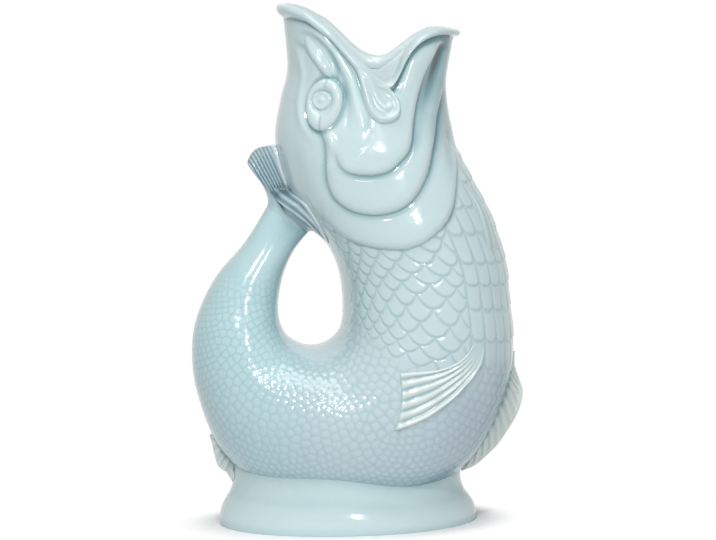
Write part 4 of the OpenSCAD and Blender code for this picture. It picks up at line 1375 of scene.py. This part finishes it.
standing = {
    # edge: share of the way from its start to its end and of that length outwards; end: share of the
    # jug's height; stations: from the foot to its start; rays and their slant
    "belly": {"edge": [[0.1, 0.045], [0.18, 0.115], [0.25, 0.175], [0.345, 0.205], [0.45, 0.21],
                       [0.57, 0.195], [0.705, 0.17], [0.82, 0.125], [0.92, 0.075]],
              "end": 0.09, "stations": -1.96, "side": 1, "rays": 14, "slant": -1.7, "tone": -0.5},
    "rear": {"edge": [[0.19, 0.03], [0.345, 0.07], [0.56, 0.11], [0.67, 0.08], [0.785, 0.022]],
             "end": 0.08, "stations": 0.6, "side": -1, "rays": 5, "slant": 0.3, "tone": -0.45},
    "rootThick": 6 * mm,
    "edgeThick": 3 * mm,
    "sunk": 1.5 * mm,
    "rayRise": 0.4 * mm,
    "raysFrom": (0.08, 0.3),    # shares of the width over which the rays grow, and fade
    "raysTo": (0.86, 1.0),
    "rayEnds": 0.06,            # shares of the length that round off
    "ends": 0.03,
    "rayTone": 0.35,
    # painted shade along the fin's root
    "rootTone": (1.1, 0.2, 0.14),    # tone, share of the width and width
    "edgeTone": 0.2,
    "edgeFrom": (0.8, 1),
    "edgePower": 10,            # the higher, the blunter the outer edge
    "rows": 200,
    "cols": 44,
}


def standingFin(name, key, node):
    # tongue from the skin to the outer edge; rays slant across both faces
    spec = standing[key]
    side = spec["side"]
    footX = side * (foot["length"] / 2 * foot["profile"][-1][1] + foot["gap"])
    last, _ = underStation(np.array([footX]), np.array([0.0]))
    last = float(last[0])
    first = last + spec["stations"]
    start = skin(np.array([first]), np.array([0.0]), np.array([standing["edgeThick"] / 2]))[0]
    end = np.array([footX, 0, spec["end"] * jug["height"]])
    off = side * np.array([start[2] - end[2], 0, end[0] - start[0]])
    rows = [start, *[mix(start, end, p[0]) + off * p[1] for p in spec["edge"]], end]
    t = np.linspace(0, 1, standing["rows"])
    edge = along(np.array(rows), t)
    root = skin(mix(first, last, t), np.zeros(len(t)), np.full(len(t), -standing["sunk"]))
    half = standing["cols"] // 2
    f = np.concatenate([np.linspace(0, 1, half), np.linspace(1, 0, half)])
    face = np.concatenate([np.full(half, -1.0), np.full(half, 1.0)])
    thick = mix(standing["rootThick"], standing["edgeThick"], f) / 2
    thick = thick * np.sqrt(1 - f ** standing["edgePower"])
    points = mix(root[:, None], edge[:, None], f[None, :, None])
    ray = np.cos(2 * math.pi * (t[:, None] * spec["rays"] + f[None] * spec["slant"]))
    fade = smoothStep(*standing["raysFrom"], f) * (1 - smoothStep(*standing["raysTo"], f))
    ray = ray * fade[None] * rounded(t, standing["rayEnds"], standing["rayEnds"])[:, None]
    ends = rounded(t, standing["ends"], standing["ends"])[:, None] ** 0.5
    points[..., 1] = face[None] * (thick[None] * ends + standing["rayRise"] * ray)
    # darker along the root: painted shade
    glazeTone = spec["tone"] - standing["rayTone"] * ray + hump(f, standing["rootTone"])[None]
    glazeTone = glazeTone - standing["edgeTone"] * smoothStep(*standing["edgeFrom"], f)[None]
    addTube(name, points, glazeTone, slot="fin_glaze", node=node, glaze=finGlaze)


standingFin("bellyFin", "belly", "belly_fin")
standingFin("rearFin", "rear", "rear_fin")
print("gurgle jug: standing fins raised")

# studio

view = {
    "target": (0.0006, 0.0, 0.1161),
    "distance": 1.6,
    "azimuth": -3.0,
    "elevation": 7.0,
    "roll": 1.0,
    "lens": 176.1,
    "sensor": 36,
    "farthest": 50,
    "aim": (0, 0, 0.12),        # of the lamps
    "world": 0.19,
    "shadow": (1.0, 1.35),      # the floor goes white between these multiples of the foot's outline
    "floor": 6,
    "floorGrey": 0.96,
    "floorRoughness": 0.6,
    "floorShine": 0.2,
}
lamps = {    # place, width and depth, and watts
    "keyLamp": ((-0.34, -1.3, 1.12), (0.06, 0.06), 7.8),
    "fillLamp": ((0.2, -1.42, 0.8), (0.06, 0.06), 4.8),
    "highLamp": ((0.0, -1.0, 1.45), (0.3, 0.3), 4.4),
    "overLamp": ((-0.1, -0.3, 1.5), (0.9, 0.7), 6.8),
}


def addCamera():
    th, e, ro = (math.radians(view[k]) for k in ("azimuth", "elevation", "roll"))
    back = Vector((math.sin(th) * math.cos(e), -math.cos(th) * math.cos(e), math.sin(e)))
    right = Vector((math.cos(th), math.sin(th), 0))
    up = back.cross(right)
    x = right * math.cos(ro) - up * math.sin(ro)
    y = right * math.sin(ro) + up * math.cos(ro)
    place = Vector(view["target"]) + back * view["distance"]
    cam = bpy.data.cameras.new("studioCamera")
    cam.lens = view["lens"]
    cam.sensor_width = view["sensor"]
    cam.clip_end = view["farthest"]
    holder = bpy.data.objects.new("studioCamera", cam)
    holder.matrix_world = Matrix(((x.x, y.x, back.x, place.x), (x.y, y.y, back.y, place.y),
                                  (x.z, y.z, back.z, place.z), (0, 0, 0, 1)))
    bpy.context.scene.collection.objects.link(holder)
    bpy.context.scene.camera = holder


def addLamp(name, place, size, power):
    lamp = bpy.data.lights.new(name, "AREA")
    lamp.shape = "RECTANGLE"
    lamp.size, lamp.size_y = size
    lamp.energy = power
    holder = bpy.data.objects.new(name, lamp)
    holder.location = place
    toJug = Vector(view["aim"]) - Vector(place)
    holder.rotation_euler = toJug.to_track_quat("-Z", "Y").to_euler()
    bpy.context.scene.collection.objects.link(holder)


def whiteFor(nodes, link, shader, share=None):
    # the camera and the glaze see plain white, everything else sees the shader
    path = nodes.new("ShaderNodeLightPath")
    amount = mathNode(nodes, link, "MAXIMUM", path.outputs["Is Camera Ray"], path.outputs["Is Glossy Ray"])
    if share is not None:
        amount = mathNode(nodes, link, "MULTIPLY", amount, share)
    white = nodes.new("ShaderNodeEmission" if share is not None else "ShaderNodeBackground")
    white.inputs["Color"].default_value = (1, 1, 1, 1)
    white.inputs["Strength"].default_value = 1.0
    pick = nodes.new("ShaderNodeMixShader")
    link(amount, pick.inputs[0])
    link(shader, pick.inputs[1])
    link(white.outputs[0], pick.inputs[2])
    return pick.outputs[0]


def addFloor():
    mesh = bpy.data.meshes.new("studioFloor")
    far = view["floor"]
    mesh.from_pydata([(-far, -far, 0), (far, -far, 0), (far, far, 0), (-far, far, 0)], [], [(0, 1, 2, 3)])
    floor = bpy.data.objects.new("studioFloor", mesh)
    bpy.context.scene.collection.objects.link(floor)
    mat = bpy.data.materials.new("studioFloor")
    mat.use_nodes = True
    nodes, link = mat.node_tree.nodes, mat.node_tree.links.new
    bsdf = nodes["Principled BSDF"]
    bsdf.inputs["Base Color"].default_value = (*[view["floorGrey"]] * 3, 1)
    bsdf.inputs["Roughness"].default_value = view["floorRoughness"]
    bsdf.inputs["Specular IOR Level"].default_value = view["floorShine"]
    place = nodes.new("ShaderNodeTexCoord")    # plain white from a little way off the foot
    spread = nodes.new("ShaderNodeMapping")
    spread.inputs["Location"].default_value = (middleX / foot["length"] * 2, 0, 0)
    spread.inputs["Scale"].default_value = (2 / foot["length"], 2 / foot["width"], 1)
    link(place.outputs["Object"], spread.inputs["Vector"])
    off = nodes.new("ShaderNodeVectorMath")
    off.operation = "LENGTH"
    link(spread.outputs["Vector"], off.inputs[0])
    fade = stepNode(nodes, link, off.outputs["Value"], *view["shadow"])
    surface = whiteFor(nodes, link, bsdf.outputs[0], fade)
    link(surface, nodes["Material Output"].inputs["Surface"])
    mesh.materials.append(mat)


def addWorld():
    world = bpy.data.worlds.new("studioWorld")
    world.use_nodes = True
    nodes, link = world.node_tree.nodes, world.node_tree.links.new
    sky = nodes["Background"]
    sky.inputs["Color"].default_value = (1, 1, 1, 1)
    sky.inputs["Strength"].default_value = view["world"]
    link(whiteFor(nodes, link, sky.outputs[0]), nodes["World Output"].inputs["Surface"])
    bpy.context.scene.world = world


addCamera()
for lampName, (place, size, power) in lamps.items():
    addLamp(lampName, place, size, power)
addFloor()
addWorld()
bpy.context.scene.view_settings.view_transform = "Standard"
print("gurgle jug: studio lit")
